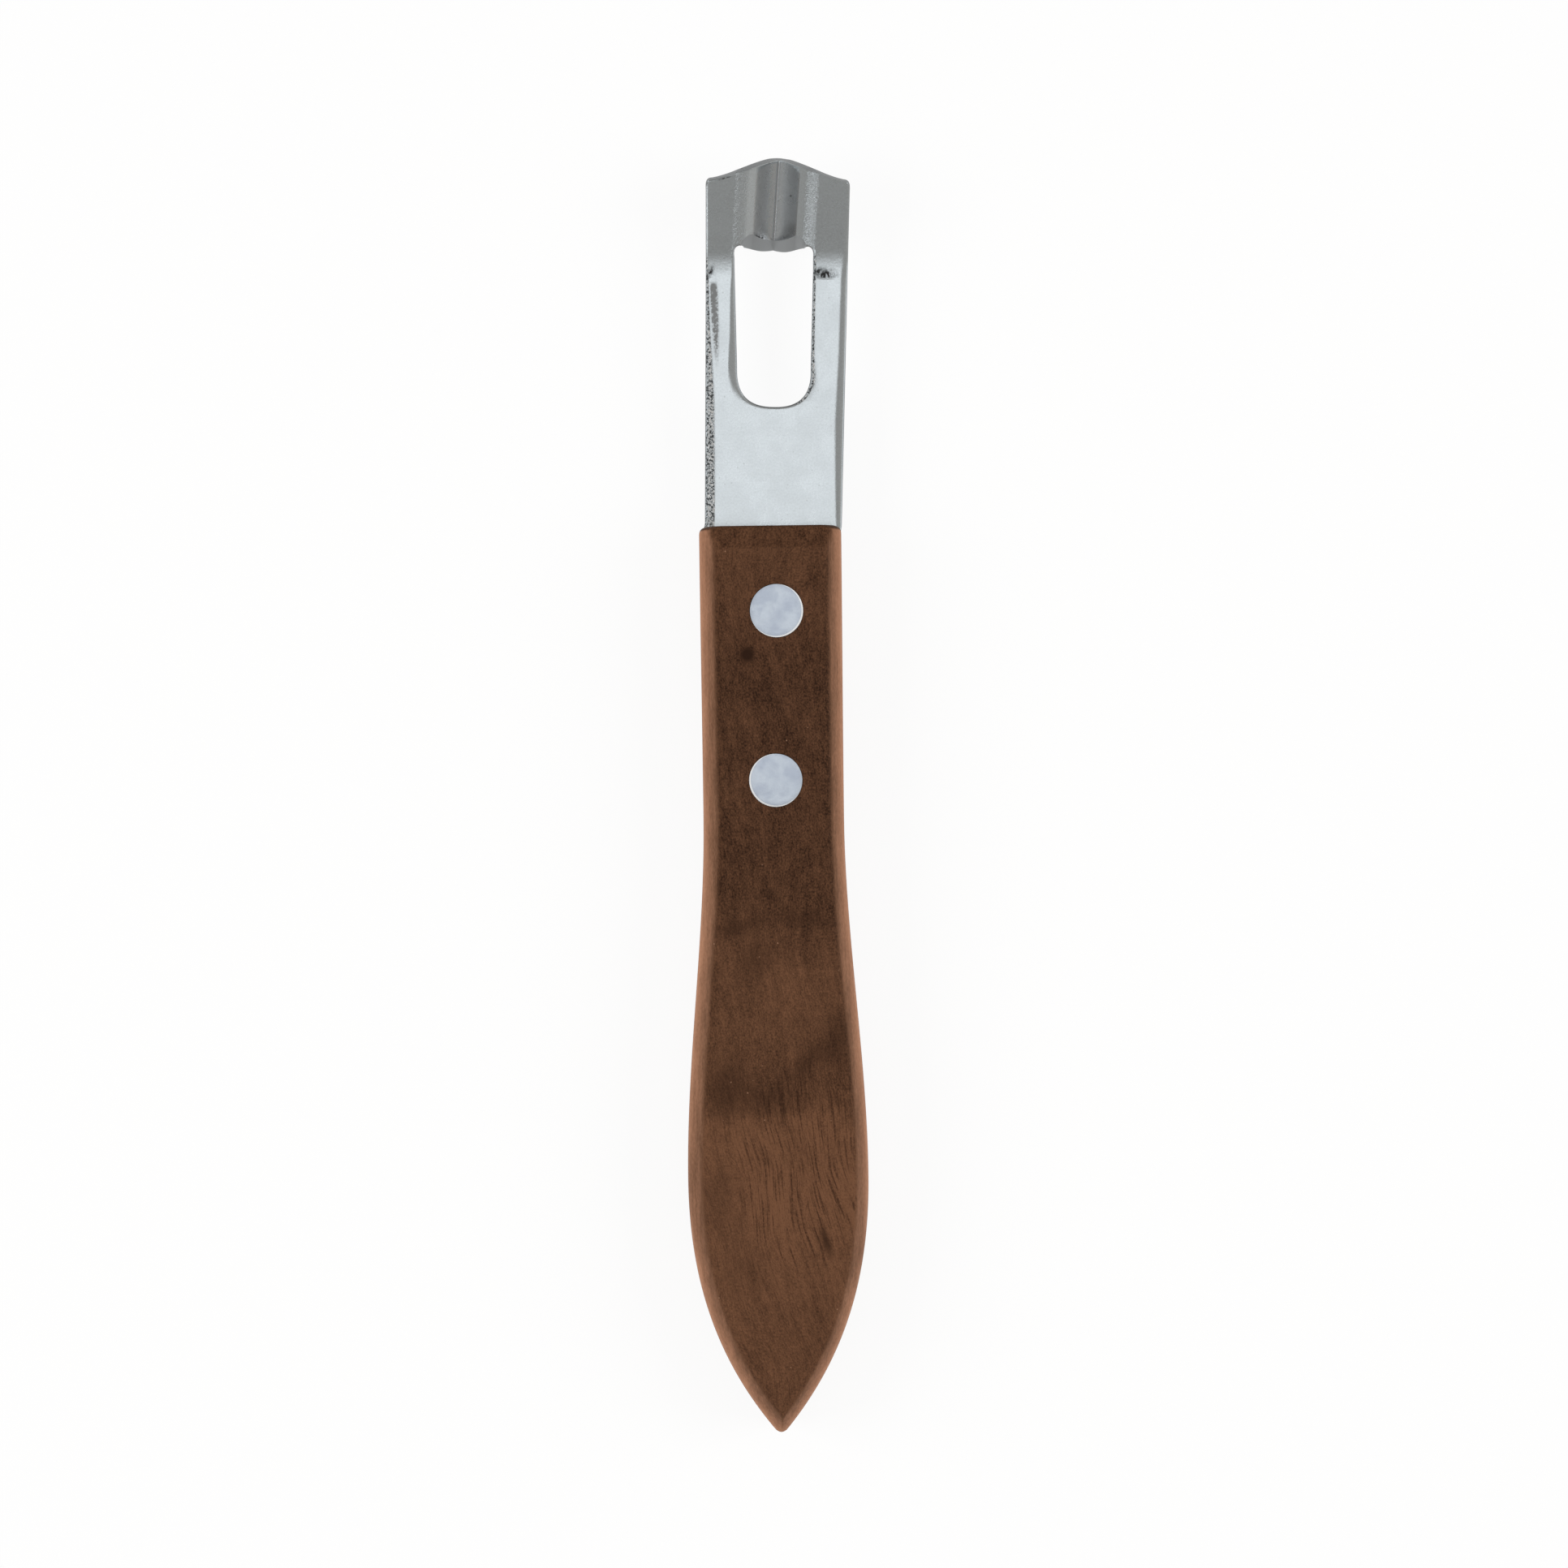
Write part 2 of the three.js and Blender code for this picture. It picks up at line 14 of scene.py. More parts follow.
import bmesh
import bpy
import numpy as np
from bpy.types import Material, Node, NodeSocket, NodeTree, Object
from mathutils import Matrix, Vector


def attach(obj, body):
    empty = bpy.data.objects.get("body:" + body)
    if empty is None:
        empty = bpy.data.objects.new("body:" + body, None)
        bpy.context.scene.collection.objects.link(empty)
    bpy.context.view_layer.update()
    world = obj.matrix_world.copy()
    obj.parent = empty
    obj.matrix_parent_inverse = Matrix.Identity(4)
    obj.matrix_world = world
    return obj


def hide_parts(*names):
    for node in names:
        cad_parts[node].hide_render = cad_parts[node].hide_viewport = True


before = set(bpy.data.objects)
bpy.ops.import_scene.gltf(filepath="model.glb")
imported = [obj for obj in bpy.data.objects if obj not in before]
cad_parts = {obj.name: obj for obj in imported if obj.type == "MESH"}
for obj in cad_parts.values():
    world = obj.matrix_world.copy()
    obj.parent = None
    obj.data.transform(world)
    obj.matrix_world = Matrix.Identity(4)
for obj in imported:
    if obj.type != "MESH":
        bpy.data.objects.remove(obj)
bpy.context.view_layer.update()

LOG = logging.getLogger("channel_knife")
MM = 0.001
FRONT_Y = 32.9
MIDDLE_Z = 6.0
ROOT_BODY = "root"
FEWEST_FACES = 100
FLAT = 0.999
HALF = 0.5
SIDES = (-1.0, 1.0)

Numbers = Union[float, np.ndarray]
Feed = Union["Signal", NodeSocket, float, Sequence[float]]
Range = tuple[float, float]
Colour = tuple[float, float, float]
Layer = tuple[Colour, float, float]
Wear = tuple[tuple[float, ...], tuple[float, ...], tuple[float, ...]]
EdgeWear = tuple[float, float, float, float]


def smoothstep(value: Numbers, low: float, high: float) -> Numbers:
    """Rise smoothly from 0 to 1 over a range."""
    share = np.clip((value - low) / (high - low), 0.0, 1.0)
    return share * share * (3.0 - 2.0 * share)


def plateau(value: Numbers, low: float, full: float, last: float, high: float) -> Numbers:
    """Rise smoothly from 0 to 1 between the first two places and fall again between the others."""
    return smoothstep(value, low, full) * (1.0 - smoothstep(value, last, high))


def bezier(handles: Sequence[Sequence[float]], count: int) -> np.ndarray:
    """Points along a quadratic or cubic curve.

    Args:
        handles: The curve's three or four control points.
        count: How many steps it is cut into.

    Returns:
        One row per point, both ends included.
    """
    share = np.linspace(0.0, 1.0, count + 1)[:, None]
    points = [np.asarray(handle, float)[None, :] for handle in handles]
    while len(points) > 1:
        points = [a + (b - a) * share for a, b in zip(points, points[1:])]
    return points[0]


class Bench:
    """Hand operations on one mesh piece, all through Blender's own tools."""

    @staticmethod
    def take(piece: Object) -> None:
        """Make a piece the only selected and active one.

        Args:
            piece: The piece.
        """
        bpy.ops.object.select_all(action="DESELECT")
        piece.select_set(True)
        bpy.context.view_layer.objects.active = piece

    @staticmethod
    def open(piece: Object) -> None:
        """Take a piece into edit mode."""
        Bench.take(piece)
        bpy.ops.object.mode_set(mode="EDIT")

    @staticmethod
    def close() -> None:
        """Go back to object mode."""
        bpy.ops.object.mode_set(mode="OBJECT")

    @staticmethod
    def seal() -> None:
        """Turn the normals of the piece being edited outward and go back to object mode."""
        bpy.ops.mesh.select_all(action="SELECT")
        bpy.ops.mesh.normals_make_consistent(inside=False)
        Bench.close()

    @staticmethod
    def mesh(piece: Object) -> bmesh.types.BMesh:
        """The mesh being edited.

        Args:
            piece: The piece in edit mode.

        Returns:
            Its mesh, with the table of vertices ready.
        """
        mesh = bmesh.from_edit_mesh(piece.data)
        mesh.verts.ensure_lookup_table()
        return mesh

    @staticmethod
    def pick(piece: Object, mode: str, wanted: Callable[[object], bool]) -> None:
        """Select parts of the mesh being edited by a test.

        Args:
            piece: The piece in edit mode.
            mode: EDGE or FACE.
            wanted: Says whether one edge or face is selected.
        """
        bpy.ops.mesh.select_mode(type=mode)
        bpy.ops.mesh.select_all(action="DESELECT")
        mesh = Bench.mesh(piece)
        for part in mesh.edges if mode == "EDGE" else mesh.faces:
            if wanted(part):
                part.select_set(True)
        mesh.select_flush_mode()
        bmesh.update_edit_mesh(piece.data)

    @staticmethod
    def place_last(piece: Object, points: np.ndarray) -> None:
        """Move the newest vertices of the mesh being edited to their places.

        Args:
            piece: The piece in edit mode.
            points: One place for each of the newest vertices, in their order.
        """
        for vert, point in zip(Bench.mesh(piece).verts[-len(points):], points):
            vert.co = Vector(point)
        bmesh.update_edit_mesh(piece.data)

    @staticmethod
    def ring(points: np.ndarray, fill: str = "NOTHING") -> Object:
        """Start a piece as a ring of points, all selected in edit mode.

        Args:
            points: The ring's points, in order.
            fill: How the ring is filled.

        Returns:
            The piece, open for editing.
        """
        bpy.ops.object.select_all(action="DESELECT")
        bpy.ops.mesh.primitive_circle_add(vertices=len(points), radius=1.0, fill_type=fill)
        piece = bpy.context.active_object
        Bench.open(piece)
        Bench.place_last(piece, points)
        bpy.ops.mesh.select_all(action="SELECT")
        return piece

    @staticmethod
    def rod(sides: int, radius: float, depth: float, place: Sequence[float]) -> Object:
        """Make a cylinder along Z.

        Args:
            sides: How many sides it has.
            radius: Its radius.
            depth: Its length.
            place: Where its middle is.

        Returns:
            The cylinder, its place applied.
        """
        bpy.ops.object.select_all(action="DESELECT")
        bpy.ops.mesh.primitive_cylinder_add(vertices=sides, radius=radius, depth=depth, location=place)
        bpy.ops.object.transform_apply(location=True, rotation=False, scale=False)
        return bpy.context.active_object

    @staticmethod
    def draw_out(travel: Sequence[float]) -> None:
        """Extrude what is selected in the mesh being edited."""
        bpy.ops.mesh.extrude_region_move(TRANSFORM_OT_translate={"value": travel})

    @staticmethod
    def modify(piece: Object, kind: str, **settings: object) -> None:
        """Add a modifier and apply it.

        Args:
            piece: What it works on.
            kind: The modifier's type.
            settings: Its settings by name.
        """
        Bench.take(piece)
        modifier = piece.modifiers.new(kind.title(), kind)
        for name, value in settings.items():
            setattr(modifier, name, value)
        bpy.ops.object.modifier_apply(modifier=modifier.name)

    @staticmethod
    def cut(piece: Object, cutter: Object) -> None:
        """Cut one solid out of another and throw the cutter away.

        Args:
            piece: What is cut.
            cutter: The shape that is taken out of it.
        """
        Bench.modify(piece, "BOOLEAN", operation="DIFFERENCE", solver="EXACT", object=cutter)
        bpy.data.objects.remove(cutter)
        if len(piece.data.polygons) < FEWEST_FACES:
            raise RuntimeError(f"cutting {piece.name} left nothing of it")

    @staticmethod
    def settle(piece: Object, place: Sequence[float] = (0, 0, 0), turn: float = 0.0) -> None:
        """Bring a piece drawn in millimetres to its place in the knife, in metres.

        Args:
            piece: The piece, drawn about its own origin.
            place: Where that origin is in the handle's frame, in millimetres.
            turn: How far the piece is turned about Z, in radians.
        """
        Bench.take(piece)
        piece.scale = (MM, MM, MM)
        piece.rotation_euler = (0.0, 0.0, turn)
        piece.location = Vector((place[0], place[1] + FRONT_Y, place[2] + MIDDLE_Z)) * MM
        bpy.ops.object.transform_apply(location=True, rotation=True, scale=True)

    @staticmethod
    def finish(piece: Object, node: str, slot: str, material: Material, degrees: float) -> Object:
        """Smooth and dress a finished piece and fix it to the knife in place of its solid.

        Args:
            piece: The finished piece.
            node: The solid that it stands for.
            slot: Not used.
            material: Its finish.
            degrees: It is shaded smooth where faces meet at less than this angle.

        Returns:
            The same piece.
        """
        Bench.take(piece)
        bpy.ops.object.shade_smooth_by_angle(angle=math.radians(degrees))
        piece.data.materials.clear()
        piece.data.materials.append(material)
        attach(piece, ROOT_BODY)
        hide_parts(node)
        LOG.info("%s: %d faces", piece.name, len(piece.data.polygons))
        return piece


class Signal:
    """A node's output, which adds, subtracts and multiplies like a number."""

    def __init__(self, nodes: "Nodes", socket: NodeSocket) -> None:
        """Keep the socket and the nodes that it is among."""
        self.nodes = nodes
        self.socket = socket

    def __add__(self, other: Feed) -> "Signal":
        """Add a value."""
        return self.nodes.math("ADD", self, other)

    def __sub__(self, other: Feed) -> "Signal":
        """Take a value away."""
        return self.nodes.math("SUBTRACT", self, other)

    def __rsub__(self, other: float) -> "Signal":
        """Take this away from a number."""
        return self.nodes.math("SUBTRACT", other, self)

    def __mul__(self, other: Feed) -> "Signal":
        """Multiply by a value."""
        return self.nodes.math("MULTIPLY", self, other)

    def __abs__(self) -> "Signal":
        """Leave the sign out."""
        return self.nodes.math("ABSOLUTE", self)

    def at_most(self, limit: Feed) -> "Signal":
        """Keep to an upper limit."""
        return self.nodes.math("MINIMUM", self, limit)

    def at_least(self, limit: Feed) -> "Signal":
        """Keep to a lower limit."""
        return self.nodes.math("MAXIMUM", self, limit)

    def rise(self, low: float, high: float, start: float = 0.0, end: float = 1.0) -> "Signal":
        """Go smoothly from one number to another over a range.

        Args:
            low: Where the range starts.
            high: Where it ends.
            start: The result before the range.
            end: The result after it.

        Returns:
            The result.
        """
        inputs = {"Value": self, "From Min": low, "From Max": high, "To Min": start, "To Max": end}
        return self.nodes.get("ShaderNodeMapRange", "Result", inputs, interpolation_type="SMOOTHSTEP")


class Nodes:
    """Places and joins the nodes of one material or group."""

    def __init__(self, tree: NodeTree) -> None:
        """Start on an empty tree."""
        self.tree = tree
        tree.nodes.clear()

    def add(self, kind: str, inputs: Optional[dict] = None, **settings: object) -> Node:
        """Place a node.

        Args:
            kind: The node's type.
            inputs: What its inputs are fed, by name or number.
            settings: Its settings by name.

        Returns:
            The node.
        """
        node = self.tree.nodes.new(kind)
        for name, value in settings.items():
            setattr(node, name, value)
        for name, value in (inputs or {}).items():
            self.feed(node.inputs[name], value)
        return node

    def get(self, kind: str, output: Union[int, str], inputs: dict, **settings: object) -> Signal:
        """Place a node and take one of its outputs."""
        return Signal(self, self.add(kind, inputs, **settings).outputs[output])

    def feed(self, socket: NodeSocket, value: Feed) -> None:
        """Join a socket to another, or set its value.

        Args:
            socket: The input socket.
            value: A signal, an output socket or a plain value.
        """
        source = value.socket if isinstance(value, Signal) else value
        if isinstance(source, NodeSocket):
            self.tree.links.new(source, socket)
        else:
            socket.default_value = source

    def math(self, operation: str, *values: Feed) -> Signal:
        """Work out a number."""
        return self.get("ShaderNodeMath", 0, dict(enumerate(values)), operation=operation)

    def vector(self, operation: str, *values: Feed) -> Signal:
        """Work out a vector, or its length."""
        output = "Value" if operation == "LENGTH" else "Vector"
        return self.get("ShaderNodeVectorMath", output, dict(enumerate(values)), operation=operation)

    def noise(
        self, place: Feed, scale: Feed, detail: float = 2.0, rough: float = 0.5, warp: float = 0.0
    ) -> Signal:
        """Cloudy noise from 0 to 1.

        Args:
            place: Where it is read.
            scale: How fine it is, as one number or along each axis.
            detail: How many finer layers it has.
            rough: How strong those are.
            warp: How far it is warped.

        Returns:
            The noise.
        """
        if isinstance(scale, tuple):
            place, scale = self.vector("MULTIPLY", place, scale), 1.0
        inputs = {"Vector": place, "Scale": scale, "Detail": detail, "Roughness": rough, "Distortion": warp}
        return self.get("ShaderNodeTexNoise", "Fac", inputs)

    def cells(self, place: Feed, scale: float) -> tuple[Signal, Signal]:
        """Scattered cells.

        Args:
            place: Where they are read.
            scale: How fine they are.

        Returns:
            The distance from the nearest cell's middle, and the cell's random colour.
        """
        node = self.add("ShaderNodeTexVoronoi", {"Vector": place, "Scale": scale}, feature="F1")
        return Signal(self, node.outputs["Distance"]), Signal(self, node.outputs["Color"])

    def mix(self, share: Feed, first: Feed, second: Feed, blend: str = "MIX") -> Signal:
        """Mix two colours.

        Args:
            share: How much of the second.
            first: The first colour.
            second: The second colour.
            blend: How they mix.

        Returns:
            The mixed colour.
        """
        first, second = ((*value, 1.0) if isinstance(value, tuple) else value for value in (first, second))
        inputs = {0: share, 6: first, 7: second}
        return self.get("ShaderNodeMix", 2, inputs, data_type="RGBA", blend_type=blend)

    def join(self, *parts: Feed) -> Signal:
        """Put a vector together from its parts."""
        return self.get("ShaderNodeCombineXYZ", 0, dict(enumerate(parts)))

    def split(self, vector: Feed) -> list[Signal]:
        """Take a vector apart."""
        return [Signal(self, output) for output in self.add("ShaderNodeSeparateXYZ", {0: vector}).outputs]

    def millimetres(self) -> tuple[Signal, Signal]:
        """Read where a point is on the knife, in millimetres, and which way its surface faces.

        Returns:
            The place and the normal.
        """
        source = self.add("ShaderNodeTexCoord")
        inputs = {"Vector": source.outputs["Object"], "Scale": (1.0 / MM,) * 3}
        return self.get("ShaderNodeMapping", "Vector", inputs), Signal(self, source.outputs["Normal"])


class GroupKind(Enum):
    """The effects that several finishes share."""

    TUMBLED = "tumbled_metal"
    SPOT = "soft_spot"


@dataclass
class SharedGroups:
    """Builds each shared effect once."""

    pit_detail: float = 3.0
    pit_rough: float = 0.6
    cloud_detail: float = 4.0
    cloud_warp: float = 0.4
    cloud_range: Range = (0.3, 0.7)
    trees: dict[GroupKind, NodeTree] = field(default_factory=dict)

    def build(self) -> "SharedGroups":
        """Build both groups.

        Returns:
            The groups themselves.
        """
        vector, number = "NodeSocketVector", "NodeSocketFloat"
        tumbled = {"Place": vector, "Pit Scale": number, "Cloud Scale": number}
        nodes, source = self._start(GroupKind.TUMBLED, tumbled)
        pits = nodes.noise(source["Place"], source["Pit Scale"], self.pit_detail, self.pit_rough)
        scale = source["Cloud Scale"]
        clouds = nodes.noise(source["Place"], scale, self.cloud_detail, warp=self.cloud_warp)
        self._end(nodes, {"Pits": pits, "Clouds": clouds.rise(*self.cloud_range)})
        spot = {"Place": vector, "Centre": vector, "Reach": vector, "Turn": number}
        nodes, source = self._start(GroupKind.SPOT, spot)
        offset = nodes.vector("SUBTRACT", source["Place"], source["Centre"])
        inputs = {"Vector": offset, "Angle": source["Turn"]}
        turned = nodes.get("ShaderNodeVectorRotate", "Vector", inputs, rotation_type="Z_AXIS")
        away = nodes.vector("LENGTH", nodes.vector("DIVIDE", turned, source["Reach"]))
        self._end(nodes, {"Mask": away.rise(1.0, 0.0)})
        return self

    def _start(self, kind: GroupKind, inputs: dict[str, str]) -> tuple[Nodes, dict[str, Signal]]:
        """Open a new group.

        Args:
            kind: Which effect it is.
            inputs: Its inputs' names and socket types.

        Returns:
            Its nodes and its inputs by name.
        """
        tree = bpy.data.node_groups.new(kind.value, "ShaderNodeTree")
        for name, socket in inputs.items():
            tree.interface.new_socket(name, in_out="INPUT", socket_type=socket)
        self.trees[kind] = tree
        nodes = Nodes(tree)
        source = nodes.add("NodeGroupInput")
        return nodes, {name: Signal(nodes, source.outputs[name]) for name in inputs}

    @staticmethod
    def _end(nodes: Nodes, outputs: dict[str, Signal]) -> None:
        """Give a group its outputs.

        Args:
            nodes: The group's nodes.
            outputs: What it gives, all plain values, by name.
        """
        for name in outputs:
            nodes.tree.interface.new_socket(name, in_out="OUTPUT", socket_type="NodeSocketFloat")
        nodes.add("NodeGroupOutput", outputs)

    def use(self, kind: GroupKind, nodes: Nodes, inputs: dict[str, Feed]) -> list[Signal]:
        """Place a group in a material and take its outputs."""
        node = nodes.add("ShaderNodeGroup", inputs, node_tree=self.trees[kind])
        return [Signal(nodes, output) for output in node.outputs]


@dataclass(frozen=True)
class Spot:
    """A soft oval spot on a finish, seen from the front face, turned in degrees."""

    centre: Colour
    reach: Colour
    strength: float
    turn: float = 0.0

    def mask(self, nodes: Nodes, groups: SharedGroups, place: Signal) -> Signal:
        """Place the spot in a material.

        Args:
            nodes: The material's nodes.
            groups: The shared effects.
            place: Where the surface is, in millimetres.

        Returns:
            The spot's strength at that place.
        """
        inputs = {"Place": place, "Centre": self.centre, "Reach": self.reach, "Turn": math.radians(self.turn)}
        return groups.use(GroupKind.SPOT, nodes, inputs)[0] * self.strength


class Finish:
    """What every finish shares: a new material with a Principled shader."""

    @staticmethod
    def start(name: str, metallic: float, specular: float) -> tuple[Material, Nodes, Node]:
        """Open a new material.

        Args:
            name: The finish's name.
            metallic: 1 for bare metal, 0 for anything else.
            specular: How strongly a bare surface reflects.

        Returns:
            The material, its nodes and its shader.
        """
        material = bpy.data.materials.new(name)
        material.use_nodes = True
        nodes = Nodes(material.node_tree)
        inputs = {"Metallic": metallic, "Specular IOR Level": specular}
        shader = nodes.add("ShaderNodeBsdfPrincipled", inputs)
        nodes.add("ShaderNodeOutputMaterial", {"Surface": shader.outputs["BSDF"]})
        return material, nodes, shader

    @staticmethod
    def dress(
        nodes: Nodes, shader: Node, colour: Signal, rough: Signal, height: Signal, depth: float
    ) -> None:
        """Feed a shader its colour, its roughness and the surface's relief.

        Args:
            nodes: The material's nodes.
            shader: Its shader.
            colour: The surface's colour.
            rough: How rough it is.
            height: The surface's height from 0 to 1.
            depth: What a height of 1 is, in millimetres.
        """
        relief = {"Height": height, "Strength": 1.0, "Distance": depth * MM}
        normal = nodes.get("ShaderNodeBump", "Normal", relief)
        for name, value in (("Base Color", colour), ("Roughness", rough), ("Normal", normal)):
            nodes.feed(shader.inputs[name], value)


@dataclass(frozen=True)
class SatinSteel:
    """Tumbled stainless steel with a gritty left edge, painted light and shade on the channel's walls,
    painted shade on the head's shoulders and along the left arm's crease, painted dark reflections and glints
    on the left edge, and marks from the press.
    """

    colour: Colour = (0.64, 0.70, 0.74)
    # Real stains and press marks; the same dark also paints shade on the head's shoulders and dark
    # reflections on the left edge.
    stain_and_shade: Colour = (0.03, 0.03, 0.03)
    # Painted glints on the left edge.
    painted_glint: Colour = (1.0, 1.0, 1.0)
    fleck: Colour = (0.34, 0.36, 0.37)
    # Painted shade along the left arm's crease.
    crease_shade: Colour = (0.2, 0.207, 0.21)
    cut: Colour = (0.30, 0.31, 0.315)
    end: Colour = (0.21, 0.22, 0.225)
    # Painted light and shade on the channel's walls: lighter at the root, darker at the brow, the left wall
    # lighter than the right.
    wall_root_light: Colour = (0.80, 0.84, 0.875)
    wall_brow_shade: Colour = (0.50, 0.525, 0.545)
    wall_side_light: Range = (1.26, 0.79)
    pit_scale: float = 3.2
    cloud_scale: float = 0.35
    cloud_share: float = 0.05
    fleck_scale: float = 1.3
    fleck_rarity: tuple[float, ...] = (0.45, 0.95, 0.0, 0.4)
    fleck_size: Range = (0.2, 0.03)
    satin_scale: float = 4.0
    satin_share: float = 0.25
    root_shade: float = 0.6
    root_width: Range = (0.05, 0.3)
    root_side: Range = (-0.2, 0.2)
    # Grit on the head's shoulder band, which also weighs the painted shade there.
    head_grit_and_shade: float = 1.2
    head_band: tuple[float, ...] = (0.6, 1.2, 2.2, 2.8)
    # Grit on the left-facing edges behind the head, which also weighs their painted dark reflections and
    # glints.
    edge_grit_and_glints: float = 3.0
    edge_facing: Range = (-0.12, -0.36)
    band_shade: float = 0.1
    speckle_scale: float = 3.8
    # Painted dark reflections and glints flecked over the left-facing edges.
    dark_reflection_specks: Range = (0.53, 0.61)
    dark_reflection_limit: float = 0.85
    glint_specks: Range = (0.47, 0.39)
    glint_limit: float = 0.7
    glint_facing: Range = (-0.55, -0.25)
    streak_scale: Colour = (2.56, 1.44, 1.6)
    streak_detail: float = 3.0
    streak_rough: float = 0.7
    stain_break: tuple[float, ...] = (0.38, 0.58, 0.35, 1.3)
    crease_break: tuple[float, ...] = (0.38, 0.58, 0.45, 1.4)
    crease_fade: float = 1.2
    steep: Range = (0.6, 0.45)
    upright: Range = (0.46, 0.6)
    end_facing: Range = (-0.2, 0.2)
    roughness: float = 0.26
    roughness_spread: float = 0.03
    cut_roughness: float = 0.2
    grit_scale: float = 7.0
    grit_depth: float = 0.06
    pit_share: float = 0.25
    stains: tuple[Spot, ...] = (
        Spot((7.3, 63.9, 6.8), (2.1, 1.2, 3.0), 0.95),
        Spot((6.5, 64.2, 6.8), (1.0, 0.95, 3.0), 1.0, 20.0),
        Spot((-7.0, 64.4, 6.8), (0.5, 1.3, 3.0), 0.95, 28.0),
        Spot((-5.1, 75.6, 10.0), (1.4, 0.16, 3.0), 1.0, -14.0),
        Spot((0.41, 71.2, 8.0), (0.2, 0.2, 3.0), 0.9),
        Spot((3.06, 73.6, 8.5), (0.22, 0.22, 3.0), 0.8),
        Spot((0.43, 77.6, 10.0), (0.25, 0.2, 4.0), 0.7),
        Spot((-0.7, 68.5, 7.0), (1.7, 0.75, 5.0), 1.0, 22.0),
        Spot((2.1, 68.6, 7.0), (1.4, 0.5, 5.0), 0.5, -15.0),
    )
    # Where the painted shade along the left arm's crease lies.
    crease: Spot = Spot((-6.55, 61.0, 6.8), (0.62, 9.5, 3.0), 2.2, -1.75)
    press_line: float = 63.45
    press_edge: float = 0.12
    press_near: float = 1.0
    channel_lean: float = 0.079
    channel_start: float = -4.49
    channel_brow: float = 2.65
    brow_blur: float = 0.1
    head_line: float = 66.5
    head_blur: float = 0.5
    arch_top: float = 77.9
    arch_fall: float = 0.22
    arch_blur: float = 0.3

    def material(self, groups: SharedGroups) -> Material:
        """Make the finish.

        Args:
            groups: The shared effects.

        Returns:
            The material.
        """
        material, nodes, shader = Finish.start("satin_steel", 1.0, 0.5)
        place, normal = nodes.millimetres()
        scales = {"Place": place, "Pit Scale": self.pit_scale, "Cloud Scale": self.cloud_scale}
        pits, clouds = groups.use(GroupKind.TUMBLED, nodes, scales)
        colour = nodes.mix(clouds * self.cloud_share, self.colour, self.fleck)
        distance, tint = nodes.cells(place, self.fleck_scale)
        flecks = nodes.split(tint)[0].rise(*self.fleck_rarity) * distance.rise(*self.fleck_size)
        colour = nodes.mix(flecks, colour, self.fleck)
        across, along, _ = nodes.split(place)
        offset = across - (along * self.channel_lean + self.channel_start)
        head = along.rise(self.head_line - self.head_blur, self.head_line)
        # Painted reflection and shade on the channel's walls, over the head only.
        wall, inside = self._wall_shading(nodes, along, offset)
        colour = nodes.mix(inside * head, colour, wall)
        satin = (nodes.noise(place, self.satin_scale) - HALF) * self.satin_share + 1.0
        colour = nodes.mix(1.0, colour, satin, "MULTIPLY")
        facing, forward, up = nodes.split(normal)
        grit_and_glints = self._grit_and_glints(offset, head, facing)
        # Painted shade dims the shoulder band on the head.
        colour = nodes.mix(grit_and_glints * head * self.band_shade, colour, self.stain_and_shade)
        # Painted dark reflections and white glints flecked over the left-facing edges behind the head.
        speckle = nodes.noise(place, self.speckle_scale)
        behind = grit_and_glints * (1.0 - head)
        dark = (speckle.rise(*self.dark_reflection_specks) * behind).at_most(self.dark_reflection_limit)
        colour = nodes.mix(dark, colour, self.stain_and_shade)
        glints = speckle.rise(*self.glint_specks) * behind * facing.rise(*self.glint_facing)
        colour = nodes.mix(glints.at_most(self.glint_limit), colour, self.painted_glint)
        # Painted shade along the crease in the left arm, broken up and fading out towards the press line.
        crease = self.crease.mask(nodes, groups, place) * speckle.rise(*self.crease_break)
        crease = crease * along.rise(self.press_line, self.press_line - self.crease_fade)
        colour = nodes.mix(crease.at_most(1.0), colour, self.crease_shade)
        colour = self._stained(nodes, groups, place, colour)
        cut = abs(up).rise(*self.steep).at_least(abs(forward).rise(*self.upright))
        ground = nodes.mix(forward.rise(*self.end_facing), self.cut, self.end)
        rough = clouds * self.roughness_spread + self.roughness + cut * self.cut_roughness
        grit = (nodes.noise(place, self.grit_scale, 1.0) - HALF) * grit_and_glints
        height = (pits - HALF) * self.pit_share + grit
        Finish.dress(nodes, shader, nodes.mix(cut, colour, ground), rough, height, self.grit_depth)
        return material

    def _stained(self, nodes: Nodes, groups: SharedGroups, place: Signal, colour: Signal) -> Signal:
        """Lay the stains on, broken into streaks. Those beside the press line end at it.

        Args:
            nodes: The material's nodes.
            groups: The shared effects.
            place: Where the surface is.
            colour: The clean colour.

        Returns:
            The stained colour.
        """
        streaks = nodes.noise(place, self.streak_scale, self.streak_detail, self.streak_rough)
        broken = streaks.rise(*self.stain_break)
        above = nodes.split(place)[1].rise(self.press_line, self.press_line + self.press_edge)
        for spot in self.stains:
            mask = spot.mask(nodes, groups, place)
            if abs(spot.centre[1] - self.press_line) < self.press_near:
                mask = mask * above
            colour = nodes.mix((mask * broken).at_most(1.0), colour, self.stain_and_shade)
        return colour

    def _wall_shading(self, nodes: Nodes, along: Signal, offset: Signal) -> tuple[Signal, Signal]:
        """Paint light and shade on the channel's walls, which end in an arch short of the head's end.

        Args:
            nodes: The material's nodes.
            along: How far along the knife the surface is.
            offset: How far right of the channel's root it is.

        Returns:
            The painted colour, and 1 inside the channel.
        """
        away = abs(offset)
        wall = nodes.mix(away.rise(self.root_width[1], self.channel_brow), self.wall_root_light, self.wall_brow_shade)
